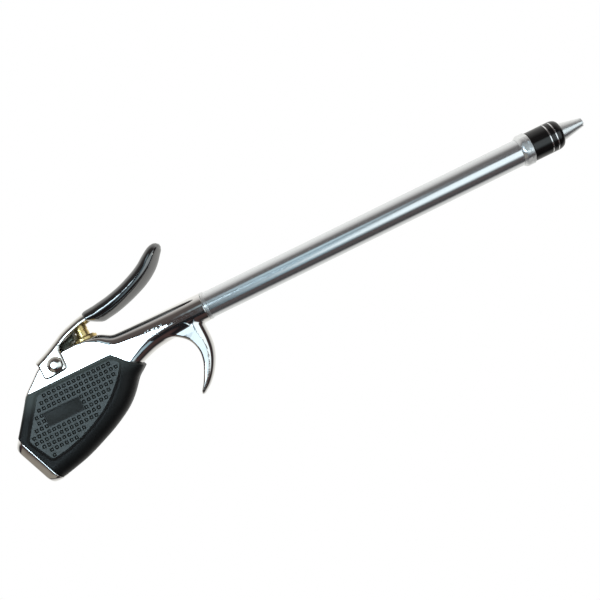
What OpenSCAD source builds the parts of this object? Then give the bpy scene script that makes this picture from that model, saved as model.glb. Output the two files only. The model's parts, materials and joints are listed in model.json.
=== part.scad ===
// Pneumatic air duster: a cast handle with a hook, a thumb lever over its valve,
// a long barrel and a turning nozzle. The barrel lies along +X and the lever is up.
// The origin is the middle of the air inlet's mouth.

/* [Barrel] */
// Outer diameter of the barrel tube
barrel_d = 19; // [17:0.1:21]
// Wall of the barrel tube
barrel_wall = 2; // [1.5:0.1:2.5]
// Length of barrel that shows, from the casting to the nozzle collar
barrel_l = 243; // [120:1:400]
// Length of barrel inside the casting's socket
barrel_seat_l = 18; // [12:1:22]
// How much the barrel is turned down in radius where it enters the socket
barrel_step = 1; // [0.5:0.1:1.2]
// Thickness of the thin ferrule at the socket's mouth
ferrule_t = 0.5; // [0.3:0.1:0.8]
// Length of the ferrule
ferrule_l = 2; // [1:0.1:4]

/* [Casting] */
// Distance from the socket's mouth back to the middle of the inlet
foot_back = 151.5; // [146:0.5:158]
// Distance from the barrel's axis down to the middle of the inlet
inlet_drop = 49; // [46:0.5:52]
// Angle of the inlet's axis below the barrel's axis
grip_angle = 22.5; // [20:0.5:25]
// Width of the casting between the lever's ears
body_w = 18.4; // [17:0.1:19]
// Height of the valve boss above the barrel's axis
boss_up = 15.2; // [14:0.1:16.5]
// Outer radius that the socket adds round the barrel
socket_rim = 0.7; // [0.4:0.1:1.5]
// Width of the lug that stands between the ears
lug_w = 12; // [8:0.5:15]
// Height of the lug above the valve boss
lug_up = 5.4; // [3:0.1:6]
// Thickness of the foot along the inlet's axis
foot_t = 6; // [5:0.5:9]
// Width of the foot
foot_w = 23.6; // [22:0.1:25]
// Length of the foot across the inlet's axis
foot_l = 36.4; // [33:0.2:38]

/* [Hook] */
// Depth of the hook's tip below the barrel's axis
hook_drop = 54.4; // [48:0.5:62]
// Distance from the socket's mouth back to the hook's tip
hook_back = 27; // [24:0.5:32]
// Width of the hook at its root
hook_w = 17; // [14:0.5:20]
// Thickness of the hook at its root
hook_t = 20; // [17:0.5:22]

/* [Inlet] */
// Bore of the inlet's thread
inlet_bore_d = 11.8; // [10:0.1:12.5]
// Outer diameter of the threaded bush
bush_d = 15.4; // [14.5:0.1:16]
// Length of the threaded bush
bush_l = 14; // [10:0.5:18]
// Thickness of the seal behind the bush
bush_seal_t = 1.5; // [1:0.1:2.5]
// Diameter of the air passage from the inlet to the valve
passage_d = 9; // [7:0.1:10]

/* [Valve] */
// Distance from the socket's mouth back to the valve's axis
valve_back = 84.5; // [82:0.5:87]
// Bore of the casting round the valve body
valve_bore_d = 14.4; // [13.8:0.1:14.8]
// Depth of the valve bore below the barrel's axis
valve_bore_drop = 27; // [25:0.5:29]
// Diameter of the brass flange on the boss
flange_d = 16.9; // [16:0.1:17.5]
// Height of the brass flange
flange_t = 2.8; // [2:0.1:3.2]
// Distance of the valve seat below the barrel's axis
seat_drop = 10.5; // [9.5:0.1:11.5]
// Diameter of the brass plunger
plunger_d = 9; // [8:0.1:9.5]
// Height of the plunger's top above the barrel's axis
plunger_up = 28.3; // [27:0.1:29]
// Diameter of the rod below the plunger
rod_d = 3; // [2:0.1:3.5]
// Diameter of the hole in the valve seat
seat_hole_d = 6.4; // [5:0.1:7]
// Diameter of the poppet under the seat
poppet_d = 10.4; // [9.5:0.1:11]
// Thickness of the poppet's metal disc
poppet_t = 2; // [1.5:0.1:3]
// Thickness of the poppet's rubber seal
poppet_seal_t = 1.8; // [1:0.1:2.5]
// Thickness of the nut under the poppet
nut_t = 1.8; // [1.4:0.1:2.2]
// Diameter of the two cross ports in the valve body
port_d = 3; // [2:0.1:4]
// Wire of the valve spring
spring_wire_d = 0.9; // [0.6:0.05:1]
// Mean diameter of the valve spring
spring_d = 8.6; // [7:0.1:9.2]
// Section of the O-rings
oring_d = 1.5; // [1:0.1:1.8]

/* [Lever] */
// Distance from the socket's mouth back to the lever's pivot
pivot_back = 108.1; // [105:0.5:111]
// Height of the pivot above the barrel's axis
pivot_up = 8.8; // [7.5:0.1:10]
// Thickness of the lever's sheet steel
lever_t = 1.5; // [1:0.1:1.6]
// Depth of the lever's side flanges
flange_drop = 4.8; // [4:0.1:6]
// Reach of the lever in front of its pivot
lever_l = 99; // [90:1:110]
// Rise of the lever's tip above its pivot
lever_rise = 44.6; // [42:0.2:46]
// Diameter of the pivot rivet's shank
rivet_d = 5; // [4:0.1:6]
// Diameter of the rivet's heads
rivet_head_d = 11.3; // [9:0.1:12]
// Height of the rivet's heads
rivet_head_t = 2.2; // [1.5:0.1:3]
// Thickness of the vinyl sleeve over the lever's sides
sleeve_wall = 1.3; // [0.8:0.1:2.5]
// Height of the vinyl sleeve across the lever
sleeve_h = 12.2; // [11:0.1:13]

/* [Grip] */
// Width of the grip over its rubber sides
grip_w = 25; // [23:0.1:28]
// Depth of the sunken panel in each side
panel_drop = 0.8; // [0.4:0.1:1.2]
// Depth of the finger roll along the front of the grip
roll_h = 10.5; // [8:0.1:12]

/* [Nozzle] */
// Outer diameter of the collar
collar_d = 22.6; // [22:0.1:24]
// Distance across the collar's six flats
collar_flats = 21.5; // [20.5:0.1:21.9]
// Length of the collar
collar_l = 7.7; // [6:0.1:10]
// Length of the collar's spigot inside the barrel
spigot_l = 16; // [10:0.5:20]
// Diameter of the air bore through the collar
collar_bore_d = 7; // [5:0.1:8]
// Thickness of the circlip that keeps the nozzle on
clip_t = 1; // [0.8:0.1:1.4]
// Diameter of the spindle that the nozzle turns on
spindle_d = 12; // [11:0.1:13]
// Length of the spindle
spindle_l = 16; // [14:0.1:17]
// Outer diameter of the black nozzle sleeve
nozzle_d = 20.6; // [19:0.1:22]
// Length of the black nozzle sleeve
nozzle_l = 23.2; // [22:0.1:26]
// Width of each bright ring groove
ring_w = 1; // [0.6:0.1:1.4]
// Length of the nozzle tip in front of the sleeve
tip_l = 17.2; // [14:0.1:20]
// Diameter of the tip where it leaves the sleeve
tip_root_d = 13; // [12:0.1:15]
// Diameter of the tip's end
tip_end_d = 6; // [5.5:0.1:8]
// Diameter of the outlet bore
outlet_d = 3; // [2:0.1:4]
// Length of the outlet bore
outlet_l = 5; // [3:0.1:7]
// Width of the cross slot in the tip's end
slot_w = 1; // [0.6:0.1:1.4]

/* [Fits] */
// Radial clearance of a turning or sliding fit
run_gap = 0.05; // [0.03:0.01:0.09]
// Gap between faces that move past each other
face_gap = 0.3; // [0.2:0.05:0.5]

/* [Hidden] */
$fn = 48;
// Overrun of every cut past the face that it opens
over = 1;
// Turns of the valve spring, rings of each turn and sides of its wire
spring_turns = 6;
coil_rings = 8;
coil_sides = 6;
// Steps round each corner of a rounded section, and sides of a round one
corner_steps = 5;
round_sides = 20;

// Reach of the lever's ears behind and below the pivot
ear_back = 11.3;
ear_drop = 7.3;

socket_r = barrel_d / 2 + socket_rim;
barrel_seat_r = barrel_d / 2 - barrel_step;
barrel_inner_r = barrel_d / 2 - barrel_wall;
half_w = body_w / 2;
ear_inner = half_w + face_gap;
lever_w = 2 * (ear_inner + lever_t);
sleeve_w = lever_w + 2 * sleeve_wall;
grip_half = grip_w / 2;
// The poppet's seal lies just under the seat, and the metal disc under the seal
seal_top = -seat_drop - run_gap;
disc_top = seal_top - poppet_seal_t;
disc_low = disc_top - poppet_t;
// Heights of the O-rings on the valve body and on the plunger
upper_oring_z = 3 * boss_up / 4;
lower_oring_z = -3 * seat_drop / 4;
plunger_oring_z = 2 * boss_up / 3;
// Places along the barrel's axis where the collar, the spindle and the sleeve begin or end
spindle_x = barrel_l + collar_l;
sleeve_x = spindle_x + face_gap;
sleeve_end = sleeve_x + nozzle_l;
clip_x = spindle_x + spindle_l - 2 * clip_t;
spigot_oring_x = barrel_l - spigot_l / 2;
spindle_oring_x = spindle_x + spindle_l / 3;
// Roundest edge that a section keeps, as a share of its half width
round_share = 0.97;
// Powers of the oval sections of the hook and of the sleeve, where 2 is an ellipse
hook_power = 2.5;
sleeve_power = 3.2;

// Stations of the casting behind its socket: [back, top, bottom, width, edge radius],
// shares of foot_back, boss_up, inlet_drop and, for the last two, half body_w
body_shares = [
    [0.185, 0.671, -0.212, 1.1, 1.06], [0.24, 0.671, -0.227, 1.1, 1.02],
    [0.284, 0.671, -0.249, 1.09, 0.98], [0.33, 0.671, -0.292, 1.08, 0.92],
    [0.376, 0.675, -0.345, 1.06, 0.8], [0.422, 0.69, -0.42, 1.04, 0.7],
    [0.441, 0.73, -0.42, 1.02, 0.6], [0.457, 0.81, -0.42, 1, 0.55],
    [0.479, 0.93, -0.42, 1, 0.5], [0.51, 0.985, -0.42, 1, 0.45],
    [0.6, 0.985, -0.42, 1, 0.4], [0.68, 0.965, -0.42, 1, 0.4],
    [0.73, 0.91, -0.42, 1, 0.4], [0.792, 0.783, -0.42, 1, 0.4],
    [0.845, 0.38, -0.42, 1.02, 0.4], [0.896, -0.035, -0.55, 1.04, 0.4],
    [0.953, -0.79, -0.75, 1.04, 0.25]];
// Edge of the rubber on the casting: [back, up] as shares of foot_back and inlet_drop
mouth_shares = [[1.1, -0.025], [0.477, -0.025], [0.427, -0.19], [0.387, -0.288], [0.352, -0.385]];
// Outline of the casting's core under the rubber, as the same shares
core_shares = [[0.84, 0.02], [0.41, 0.02], [0.385, -0.1], [0.38, -0.24], [0.436, -0.45],
    [0.482, -0.6], [0.528, -0.714], [0.58, -0.806], [0.647, -0.908], [0.713, -0.994],
    [0.78, -1.06], [0.86, -1.12], [0.95, -1.17], [1.1, -1.2], [1.1, -0.83], [0.99, -0.515],
    [0.882, -0.04]];
// Layers of the foot: [depth, inset] as shares of foot_t, and the thickness of each
foot_shares = [[1, 0.1], [0.5, 0.1], [0.08, 0.5]];
foot_layer_share = 0.08;
// Back of the lug between pivot and valve, and its height there, shares of its reach and rise
lug_back_share = 0.28;
lug_low_share = 0.8;
// Stations of the rubber: [back, top, bottom, width, roll depth], shares of foot_back,
// boss_up, inlet_drop, half the grip's width and roll_h
grip_shares = [
    [0.343, 0.3, -0.32, 0.86, 0.5], [0.357, 0.3, -0.36, 0.88, 0.6],
    [0.38, 0.3, -0.415, 0.92, 0.7], [0.412, 0.35, -0.49, 0.96, 0.85], [0.457, 0.4, -0.655, 1, 1],
    [0.503, 0.4, -0.786, 1, 1.05], [0.55, 0.4, -0.88, 1, 1.05], [0.617, 0.4, -0.987, 1, 1.02],
    [0.685, 0.4, -1.076, 1, 1], [0.754, 0.4, -1.157, 1, 0.98], [0.81, 0.4, -1.21, 1, 0.95],
    [0.842, 0.38, -1.235, 1, 0.93], [0.889, -0.035, -1.268, 1, 0.9], [0.945, -0.79, -1.3, 1, 0.9],
    [1.006, -1.6, -1.34, 1, 0.8], [1.062, -2.3, -1.37, 1, 0.6]];
// Edge radii of the rubber along its top and along the finger roll, shares of half its width
grip_top_share = 0.25;
grip_roll_share = 0.95;
// Outline of the sunken panel in the grip's sides, shares of foot_back and inlet_drop
panel_shares = [[0.845, -0.095], [0.476, -0.095], [0.446, -0.18], [0.47, -0.3], [0.51, -0.44],
    [0.56, -0.58], [0.61, -0.69], [0.68, -0.8], [0.75, -0.885], [0.83, -0.95], [0.905, -0.985],
    [0.968, -0.63]];
// Stations of the hook: [back, down, thickness, width], shares of hook_back, hook_drop,
// hook_t and half hook_w
hook_shares = [
    [0.53, 0.09, 1.08, 1.06], [0.53, 0.2, 1.03, 1.03], [0.47, 0.285, 0.78, 0.98],
    [0.42, 0.365, 0.65, 0.95], [0.395, 0.475, 0.52, 0.92], [0.42, 0.57, 0.455, 0.88],
    [0.485, 0.665, 0.39, 0.82], [0.6, 0.775, 0.335, 0.7], [0.755, 0.88, 0.265, 0.56],
    [0.9, 0.955, 0.205, 0.42], [0.975, 0.985, 0.14, 0.28]];
// Top of the lever's sheet: [forward, up, flange] from the pivot, shares of lever_l,
// lever_rise and flange_drop
lever_shares = [
    [-0.127, 0.155, 1], [-0.081, 0.193, 1], [-0.011, 0.258, 1], [0.058, 0.332, 1],
    [0.127, 0.408, 1], [0.197, 0.46, 1], [0.266, 0.5, 1], [0.34, 0.527, 1.1],
    [0.42, 0.545, 1.3], [0.52, 0.581, 1.5], [0.62, 0.638, 1.5], [0.72, 0.716, 1.5],
    [0.8, 0.79, 1.4], [0.865, 0.87, 1.2], [0.92, 0.94, 0.9]];
// Ear of the lever: [forward, up] from the pivot as shares of its reach back and down
ear_shares = [[0.61, 1.1], [0.585, -0.5], [0.5, -0.8], [0.32, -0.87], [-0.62, -1], [-0.85, -0.93],
    [-0.97, -0.8], [-1, -0.6], [-1, 0.6]];
// Middle line of the sleeve with its height and width: [forward, up, height, width],
// shares of lever_l, lever_rise, half sleeve_h and half sleeve_w
sleeve_shares = [
    [0.33, 0.421, 0.9, 0.93], [0.343, 0.424, 0.98, 0.99], [0.42, 0.439, 1, 1],
    [0.526, 0.478, 1, 1], [0.637, 0.543, 0.99, 1], [0.752, 0.638, 0.98, 1],
    [0.829, 0.728, 0.97, 0.99], [0.884, 0.818, 0.94, 0.96], [0.934, 0.908, 0.82, 0.86],
    [0.968, 0.958, 0.62, 0.68], [0.989, 0.981, 0.38, 0.45]];

// Shoulder of the nozzle sleeve: [radius, place] as shares of its radius and of nozzle_l
shoulder_shares = [[1, 0.82], [0.985, 0.87], [0.94, 0.925], [0.87, 0.97], [0.78, 1]];
// Places of the bright grooves along the nozzle sleeve, shares of nozzle_l
ring_shares = [0.58, 0.76];
// Widest place of the funnel inside the nozzle tip, a share of tip_root_d
funnel_share = 0.7;

// Points as [x, z], from shares of two sizes that run back and up
function back_up(shares, back, up) = [for (s = shares) [-s[0] * back, s[1] * up]];

// A path moved sideways by d, to the left of its direction
function shifted(path, d) = [for (i = [0 : len(path) - 1])
    let (a = path[max(i - 1, 0)], b = path[min(i + 1, len(path) - 1)],
        v = (b - a) / norm(b - a)) path[i] + d * [-v[1], v[0]]];

// Quarter of an ellipse from angle a, about the corner's centre
function corner(centre, ry, rz, a) = [for (k = [0 : corner_steps])
    let (t = a + 90 * k / corner_steps) centre + [ry * cos(t), rz * sin(t)]];

// A section with flat sides: y and z round its edge, with its own top and bottom rounding
function section(w, top, bottom, top_r, bottom_ry, bottom_rz) = concat(
    corner([w - top_r, top - top_r], top_r, top_r, 0),
    corner([top_r - w, top - top_r], top_r, top_r, 90),
    corner([bottom_ry - w, bottom + bottom_rz], bottom_ry, bottom_rz, 180),
    corner([w - bottom_ry, bottom + bottom_rz], bottom_ry, bottom_rz, 270));

// The same section as points in the plane at x
function section_at(x, flat) = [for (p = flat) [x, p[0], p[1]]];

// An oval section across a path that runs in the XZ plane: centre c, direction v
function oval_across(c, v, w, h, power) = [for (k = [0 : round_sides - 1])
    let (t = -360 * k / round_sides, y = w * sign(cos(t)) * pow(abs(cos(t)), 2 / power),
        n = h * sign(sin(t)) * pow(abs(sin(t)), 2 / power))
    [c[0] - v[1] * n, y, c[1] + v[0] * n]];

// Direction of a path of [x, z] points at one of them
function heading(path, i) = let (a = path[max(i - 1, 0)], b = path[min(i + 1, len(path) - 1)])
    (b - a) / norm(b - a);

// A closed skin over rings that all have the same number of points
module skin(rings) {
    n = len(rings[0]);
    last = (len(rings) - 1) * n;
    sides = [for (i = [0 : len(rings) - 2], j = [0 : n - 1], k = [0, 1])
        let (a = i * n + j, b = i * n + (j + 1) % n)
        k == 0 ? [a, b, b + n] : [a, b + n, a + n]];
    caps = concat([for (j = [1 : n - 2]) [0, j + 1, j]],
        [for (j = [1 : n - 2]) [last, last + j, last + j + 1]]);
    polyhedron(points = [for (ring = rings, p = ring) p], faces = concat(sides, caps));
}

// Moves the model from the barrel's axis to the inlet's mouth
module placed() translate([foot_back, 0, inlet_drop]) children();

// Round bars along each axis, and an outline in the XZ plane made as wide as w
module bar_x(r, from, to) translate([from, 0, 0]) rotate([0, 90, 0]) cylinder(h = to - from, r = r);
module bar_y(r, w) rotate([90, 0, 0]) cylinder(h = w, r = r, center = true);
module bar_z(r, from, to) translate([0, 0, from]) cylinder(h = to - from, r = r);
module slab(path, w) rotate([90, 0, 0]) linear_extrude(height = w, center = true) polygon(path);

// A ring with a round section, about the Z axis or the X axis
module oring(r, z) translate([0, 0, z]) rotate_extrude() translate([r, 0]) circle(d = oring_d, $fn = 24);
module oring_x(r, x) translate([x, 0, 0]) rotate([0, 90, 0]) oring(r, 0);

// Where the valve, the pivot and the inlet stand. The inlet's own Z points out of its mouth
module at_valve() placed() translate([-valve_back, 0, 0]) children();
module at_pivot() placed() translate([-pivot_back, 0, pivot_up]) children();
module at_inlet() rotate([0, -90 - grip_angle, 0]) children();

module full_body() {
    front = [for (x = [0, body_shares[0][0] * foot_back / 2])
        section_at(-x, section(socket_r, socket_r, -socket_r, round_share * socket_r,
            round_share * socket_r, round_share * socket_r))];
    rest = [for (s = body_shares) let (edge = min(s[4], round_share * s[3]) * half_w)
        section_at(-s[0] * foot_back,
            section(s[3] * half_w, s[1] * boss_up, s[2] * inlet_drop, edge, edge, edge))];
    skin(concat(front, rest));
}

// All that lies above and in front of the rubber's edge
module above_mouth() {
    edge = back_up(mouth_shares, foot_back, inlet_drop);
    slab(concat(edge, [[edge[len(edge) - 1][0], -inlet_drop], [foot_back, -inlet_drop],
        [foot_back, inlet_drop], [edge[0][0], inlet_drop]]), 3 * body_w);
}

module core() difference() {
    slab(back_up(core_shares, foot_back, inlet_drop), body_w - face_gap);
    translate([-foot_back, 0, -inlet_drop]) at_inlet() past_foot(foot_t / 2);
}

// All that lies outside the foot's inner face, less a margin
module past_foot(margin) translate([0, 0, inlet_drop - foot_t + margin])
    cube([4 * inlet_drop, 4 * inlet_drop, 2 * inlet_drop], center = true);

module foot() translate([-foot_back, 0, -inlet_drop]) at_inlet() hull()
    for (s = foot_shares) foot_layer(-s[0] * foot_t, s[1] * foot_t);

// One rounded layer of the foot, drawn in by inset all round
module foot_layer(z, inset) for (x = [-1, 1], y = [-1, 1])
    translate([x * (foot_l / 2 - foot_w / 4), y * foot_w / 4, z])
        cylinder(h = foot_layer_share * foot_t, r = foot_w / 4 - inset, $fn = 32);

module hook() {
    path = back_up([for (s = hook_shares) [s[0], -s[1]]], hook_back, hook_drop);
    skin([for (i = [0 : len(path) - 1]) oval_across(path[i], heading(path, i),
        hook_shares[i][3] * hook_w / 2, hook_shares[i][2] * hook_t / 2, hook_power)]);
}

module lug() {
    back = -pivot_back + lug_back_share * (pivot_back - valve_back);
    front = -valve_back - flange_d / 2 - face_gap;
    slab([[back, 0], [front, 0], [front, boss_up + lug_up], [back, boss_up + lug_low_share * lug_up]],
        lug_w);
}

module handle_casting() color("gainsboro") placed() difference() {
    union() {
        intersection() {
            full_body();
            above_mouth();
        }
        core();
        foot();
        hook();
        lug();
        translate([-valve_back, 0, 0]) bar_z(half_w, 0, boss_up);
    }
    bar_x(barrel_seat_r, -barrel_seat_l - oring_d, over);
    bar_x(passage_d / 2, -valve_back, 0);
    translate([-valve_back, 0, 0]) bar_z(valve_bore_d / 2, -valve_bore_drop, boss_up + over);
    translate([-pivot_back, 0, pivot_up]) bar_y(rivet_d / 2, body_w + over);
    translate([-foot_back, 0, -inlet_drop]) at_inlet() {
        bar_z(bush_d / 2, -bush_l - bush_seal_t, over);
        bar_z(passage_d / 2, -(foot_back - valve_back) / cos(grip_angle), 0);
    }
}

module rubber_grip() color("dimgray") placed() difference() {
    skin([for (s = grip_shares) section_at(-s[0] * foot_back, section(s[3] * grip_half,
        s[1] * boss_up, s[2] * inlet_drop, grip_top_share * grip_half,
        grip_roll_share * s[3] * grip_half, s[4] * roll_h))]);
    above_mouth();
    core();
    translate([-foot_back, 0, -inlet_drop]) at_inlet() past_foot(0);
    for (side = [-1, 1]) translate([0, side * (grip_w - panel_drop), 0])
        slab(back_up(panel_shares, foot_back, inlet_drop), grip_w);
}

module inlet_bush() color("darkgoldenrod") at_inlet() difference() {
    bar_z(bush_d / 2, -bush_l, 0);
    bar_z(inlet_bore_d / 2, -bush_l - over, over);
}

module inlet_seal() color("saddlebrown") at_inlet() difference() {
    bar_z(bush_d / 2, -bush_l - bush_seal_t, -bush_l);
    bar_z(passage_d / 2, -bush_l - bush_seal_t - over, -bush_l + over);
}

// Top line of the lever's sheet, and the outline of the whole lever seen from the side
lever_top = [for (s = lever_shares) [s[0] * lever_l, s[1] * lever_rise]];
flange_edge = [for (i = [0 : len(lever_top) - 1])
    shifted(lever_top, -flange_drop * lever_shares[i][2])[i]];
lever_outline = concat(lever_top, [for (i = [len(lever_top) - 1 : -1 : 3]) flange_edge[i]],
    [for (s = ear_shares) [s[0] * ear_back, s[1] * ear_drop]]);

module lever() color("silver") at_pivot() {
    under = shifted(lever_top, -lever_t);
    difference() {
        slab(lever_outline, lever_w);
        slab(concat(under, [[lever_l, -lever_rise], [-2 * ear_back, -lever_rise],
            [-2 * ear_back, under[0][1]]]), 2 * ear_inner);
        bar_y(rivet_d / 2 + run_gap, lever_w + over);
    }
}

module lever_sleeve() color("#1a1a1a") at_pivot() {
    path = [for (s = sleeve_shares) [s[0] * lever_l, s[1] * lever_rise]];
    difference() {
        skin([for (i = [0 : len(path) - 1]) oval_across(path[i], heading(path, i),
            sleeve_shares[i][3] * sleeve_w / 2, sleeve_shares[i][2] * sleeve_h / 2, sleeve_power)]);
        slab(lever_outline, lever_w);
    }
}

module pivot_rivet() color("lightgray") at_pivot() {
    bar_y(rivet_d / 2, lever_w + 2 * face_gap);
    for (side = [-1, 1]) rotate([-90 * side, 0, 0]) translate([0, 0, lever_w / 2 + face_gap])
        rotate_extrude() polygon(concat([[0, 0]], [for (k = [0 : corner_steps])
            let (t = 80 * k / corner_steps) [rivet_head_d / 2 * cos(t), rivet_head_t * sin(t)]],
            [[0, rivet_head_t / 2]]));
}

module valve_body() color("goldenrod") at_valve() {
    r = valve_bore_d / 2;
    difference() {
        union() {
            bar_z(flange_d / 2, boss_up, boss_up + flange_t);
            bar_z(r, boss_up / 2, boss_up);
            bar_z(r - oring_d / 2, -seat_drop, boss_up);
            bar_z(r, -seat_drop, -seat_drop / 2);
        }
        bar_z(plunger_d / 2 + run_gap, -seat_drop / 2, boss_up + flange_t + over);
        bar_z(seat_hole_d / 2, -seat_drop - over, 0);
        for (a = [0, 90]) rotate([0, 0, a]) bar_y(port_d / 2, valve_bore_d);
        for (z = [upper_oring_z, lower_oring_z]) oring_groove(r, z);
    }
}

// Groove for an O-ring that stands level with radius r
module oring_groove(r, z) rotate_extrude() translate([r - oring_d, z - oring_d / 2])
    square([oring_d + over, oring_d]);

module valve_body_oring_upper() color("black") at_valve()
    oring(valve_bore_d / 2 - oring_d / 2, upper_oring_z);

module valve_body_oring_lower() color("black") at_valve()
    oring(valve_bore_d / 2 - oring_d / 2, lower_oring_z);

module valve_plunger() color("goldenrod") at_valve() {
    r = plunger_d / 2;
    low = boss_up / 2;
    dome = r / 2;
    difference() {
        rotate_extrude() polygon(concat([[0, low], [r, low]], [for (k = [0 : 2 * corner_steps])
            let (t = 90 * k / (2 * corner_steps)) [r * cos(t), plunger_up - dome + dome * sin(t)]]));
        oring_groove(r, plunger_oring_z);
    }
    bar_z(rod_d / 2, disc_low - nut_t, low);
}

module plunger_oring() color("black") at_valve() oring(plunger_d / 2 - oring_d / 2, plunger_oring_z);

module washer(r, bore, from, to) difference() {
    bar_z(r, from, to);
    bar_z(bore, from - over, to + over);
}

module poppet_seal() color("black") at_valve() washer(poppet_d / 2, rod_d / 2, disc_top, seal_top);

module poppet() color("goldenrod") at_valve() washer(poppet_d / 2, rod_d / 2, disc_low, disc_top);

module poppet_nut() color("silver") at_valve() difference() {
    translate([0, 0, disc_low - nut_t]) cylinder(h = nut_t, r = rod_d, $fn = 6);
    bar_z(rod_d / 2, disc_low - nut_t - over, disc_low + over);
}

module valve_spring() color("slategray") at_valve() {
    r = spring_d / 2;
    wire = spring_wire_d / 2;
    top = disc_low - wire;
    bottom = -valve_bore_drop + wire;
    steps = spring_turns * coil_rings;
    middle = [for (i = [0 : steps]) [360 * i / coil_rings, bottom + (top - bottom) * i / steps]];
    points = [for (m = middle) [r * cos(m[0]), r * sin(m[0]), m[1]]];
    echo(spring_least_gap = min([for (i = [0 : steps - coil_rings], j = [i + coil_rings / 2 : steps])
        norm(points[j] - points[i])]) - spring_wire_d);
    skin([for (m = middle) [for (k = [0 : coil_sides - 1])
        let (a = 360 * k / coil_sides, q = r + wire * cos(a))
            [q * cos(m[0]), q * sin(m[0]), m[1] + wire * sin(a)]]]);
}

module barrel_tube() color("lightsteelblue") placed() difference() {
    union() {
        bar_x(barrel_d / 2, 0, barrel_l);
        bar_x(barrel_seat_r, -barrel_seat_l, over);
    }
    bar_x(barrel_inner_r, -barrel_seat_l - over, barrel_l + over);
}

module barrel_ferrule() color("gainsboro") placed() difference() {
    bar_x(barrel_d / 2 + ferrule_t, face_gap, face_gap + ferrule_l);
    bar_x(barrel_d / 2, 0, 2 * ferrule_l);
}

module barrel_oring() color("black") placed()
    oring_x(barrel_seat_r - oring_d / 2, -barrel_seat_l - oring_d / 2);

module nozzle_collar() color("silver") placed() {
    difference() {
        union() {
            intersection() {
                collar_blank();
                translate([barrel_l, 0, 0]) rotate([0, 90, 0]) rotate([0, 0, 30])
                    cylinder(h = collar_l, r = collar_flats / 2 / cos(30), $fn = 6);
            }
            bar_x(barrel_inner_r, barrel_l - spigot_l, barrel_l + collar_l / 2);
            bar_x(spindle_d / 2, barrel_l, spindle_x + spindle_l);
        }
        bar_x(collar_bore_d / 2, barrel_l - spigot_l - over, spindle_x + spindle_l + over);
        groove_x(barrel_inner_r, spigot_oring_x - oring_d / 2, oring_d, oring_d);
        groove_x(spindle_d / 2, spindle_oring_x - oring_d / 2, oring_d, oring_d);
        groove_x(spindle_d / 2, clip_x, clip_t, clip_t / 2);
    }
}

// The collar before its flats are milled, chamfered towards the barrel
module collar_blank() translate([barrel_l, 0, 0]) rotate([0, 90, 0]) rotate_extrude()
    polygon([[0, 0], [barrel_d / 2 + ferrule_t / 2, 0], [collar_d / 2, collar_l / 4],
        [collar_d / 2, collar_l], [0, collar_l]]);

// A turned groove of one depth, from x along the barrel's axis
module groove_x(r, x, w, depth) difference() {
    bar_x(r + over, x, x + w);
    bar_x(r - depth, x - over, x + w + over);
}

module collar_oring() color("black") placed()
    oring_x(barrel_inner_r - oring_d / 2, spigot_oring_x);

module spindle_oring() color("black") placed()
    oring_x(spindle_d / 2 - oring_d / 2, spindle_oring_x);

module nozzle_circlip() color("slategray") placed() difference() {
    bar_x(spindle_d / 2 + clip_t, clip_x, clip_x + clip_t);
    bar_x(spindle_d / 2 - clip_t / 2, clip_x - over, clip_x + clip_t + over);
    translate([clip_x + clip_t / 2, 0, -spindle_d / 2])
        cube([2 * clip_t, spindle_d / 3, spindle_d], center = true);
}

module nozzle_sleeve() color("#202020") placed() {
    r = nozzle_d / 2;
    difference() {
        translate([sleeve_x, 0, 0]) rotate([0, 90, 0]) rotate_extrude() polygon(concat([[0, 0], [r, 0]],
            [for (s = shoulder_shares) [s[0] * r, s[1] * nozzle_l]], [[0, nozzle_l]]));
        bar_x(spindle_d / 2 + run_gap, sleeve_x - over, sleeve_end);
        bar_x(tip_root_d / 2, clip_x - face_gap, sleeve_end + over);
        bar_x(spindle_d / 2 + clip_t + face_gap, clip_x - face_gap, clip_x + clip_t + face_gap);
        for (s = ring_shares) groove_x(r, sleeve_x + s * nozzle_l - ring_w / 2, ring_w, ring_w / 3);
    }
}

module nozzle_tip() color("silver") placed() {
    end = sleeve_end + tip_l;
    start = spindle_x + spindle_l + face_gap;
    difference() {
        union() {
            bar_x(tip_root_d / 2, start, sleeve_end);
            translate([sleeve_end, 0, 0]) rotate([0, 90, 0])
                cylinder(h = tip_l, r1 = tip_root_d / 2, r2 = tip_end_d / 2);
        }
        bar_x(outlet_d / 2, start, end + over);
        translate([start - over, 0, 0]) rotate([0, 90, 0]) cylinder(h = end - outlet_l - start + over,
            r1 = funnel_share * tip_root_d / 2, r2 = outlet_d / 2);
        for (a = [45, -45]) translate([end, 0, 0]) rotate([a, 0, 0])
            cube([2 * slot_w, slot_w, tip_root_d], center = true);
    }
}

handle_casting();
rubber_grip();
inlet_bush();
inlet_seal();
lever();
lever_sleeve();
pivot_rivet();
valve_body();
valve_body_oring_upper();
valve_body_oring_lower();
valve_plunger();
plunger_oring();
poppet_seal();
poppet();
poppet_nut();
valve_spring();
barrel_tube();
barrel_ferrule();
barrel_oring();
nozzle_collar();
collar_oring();
spindle_oring();
nozzle_circlip();
nozzle_sleeve();
nozzle_tip();
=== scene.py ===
# Pneumatic air duster: chromed casting with a rubber grip and a hook, thumb lever with a
# vinyl sleeve over a brass valve, long aluminium barrel and a turning nozzle.
import json
import math

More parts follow.
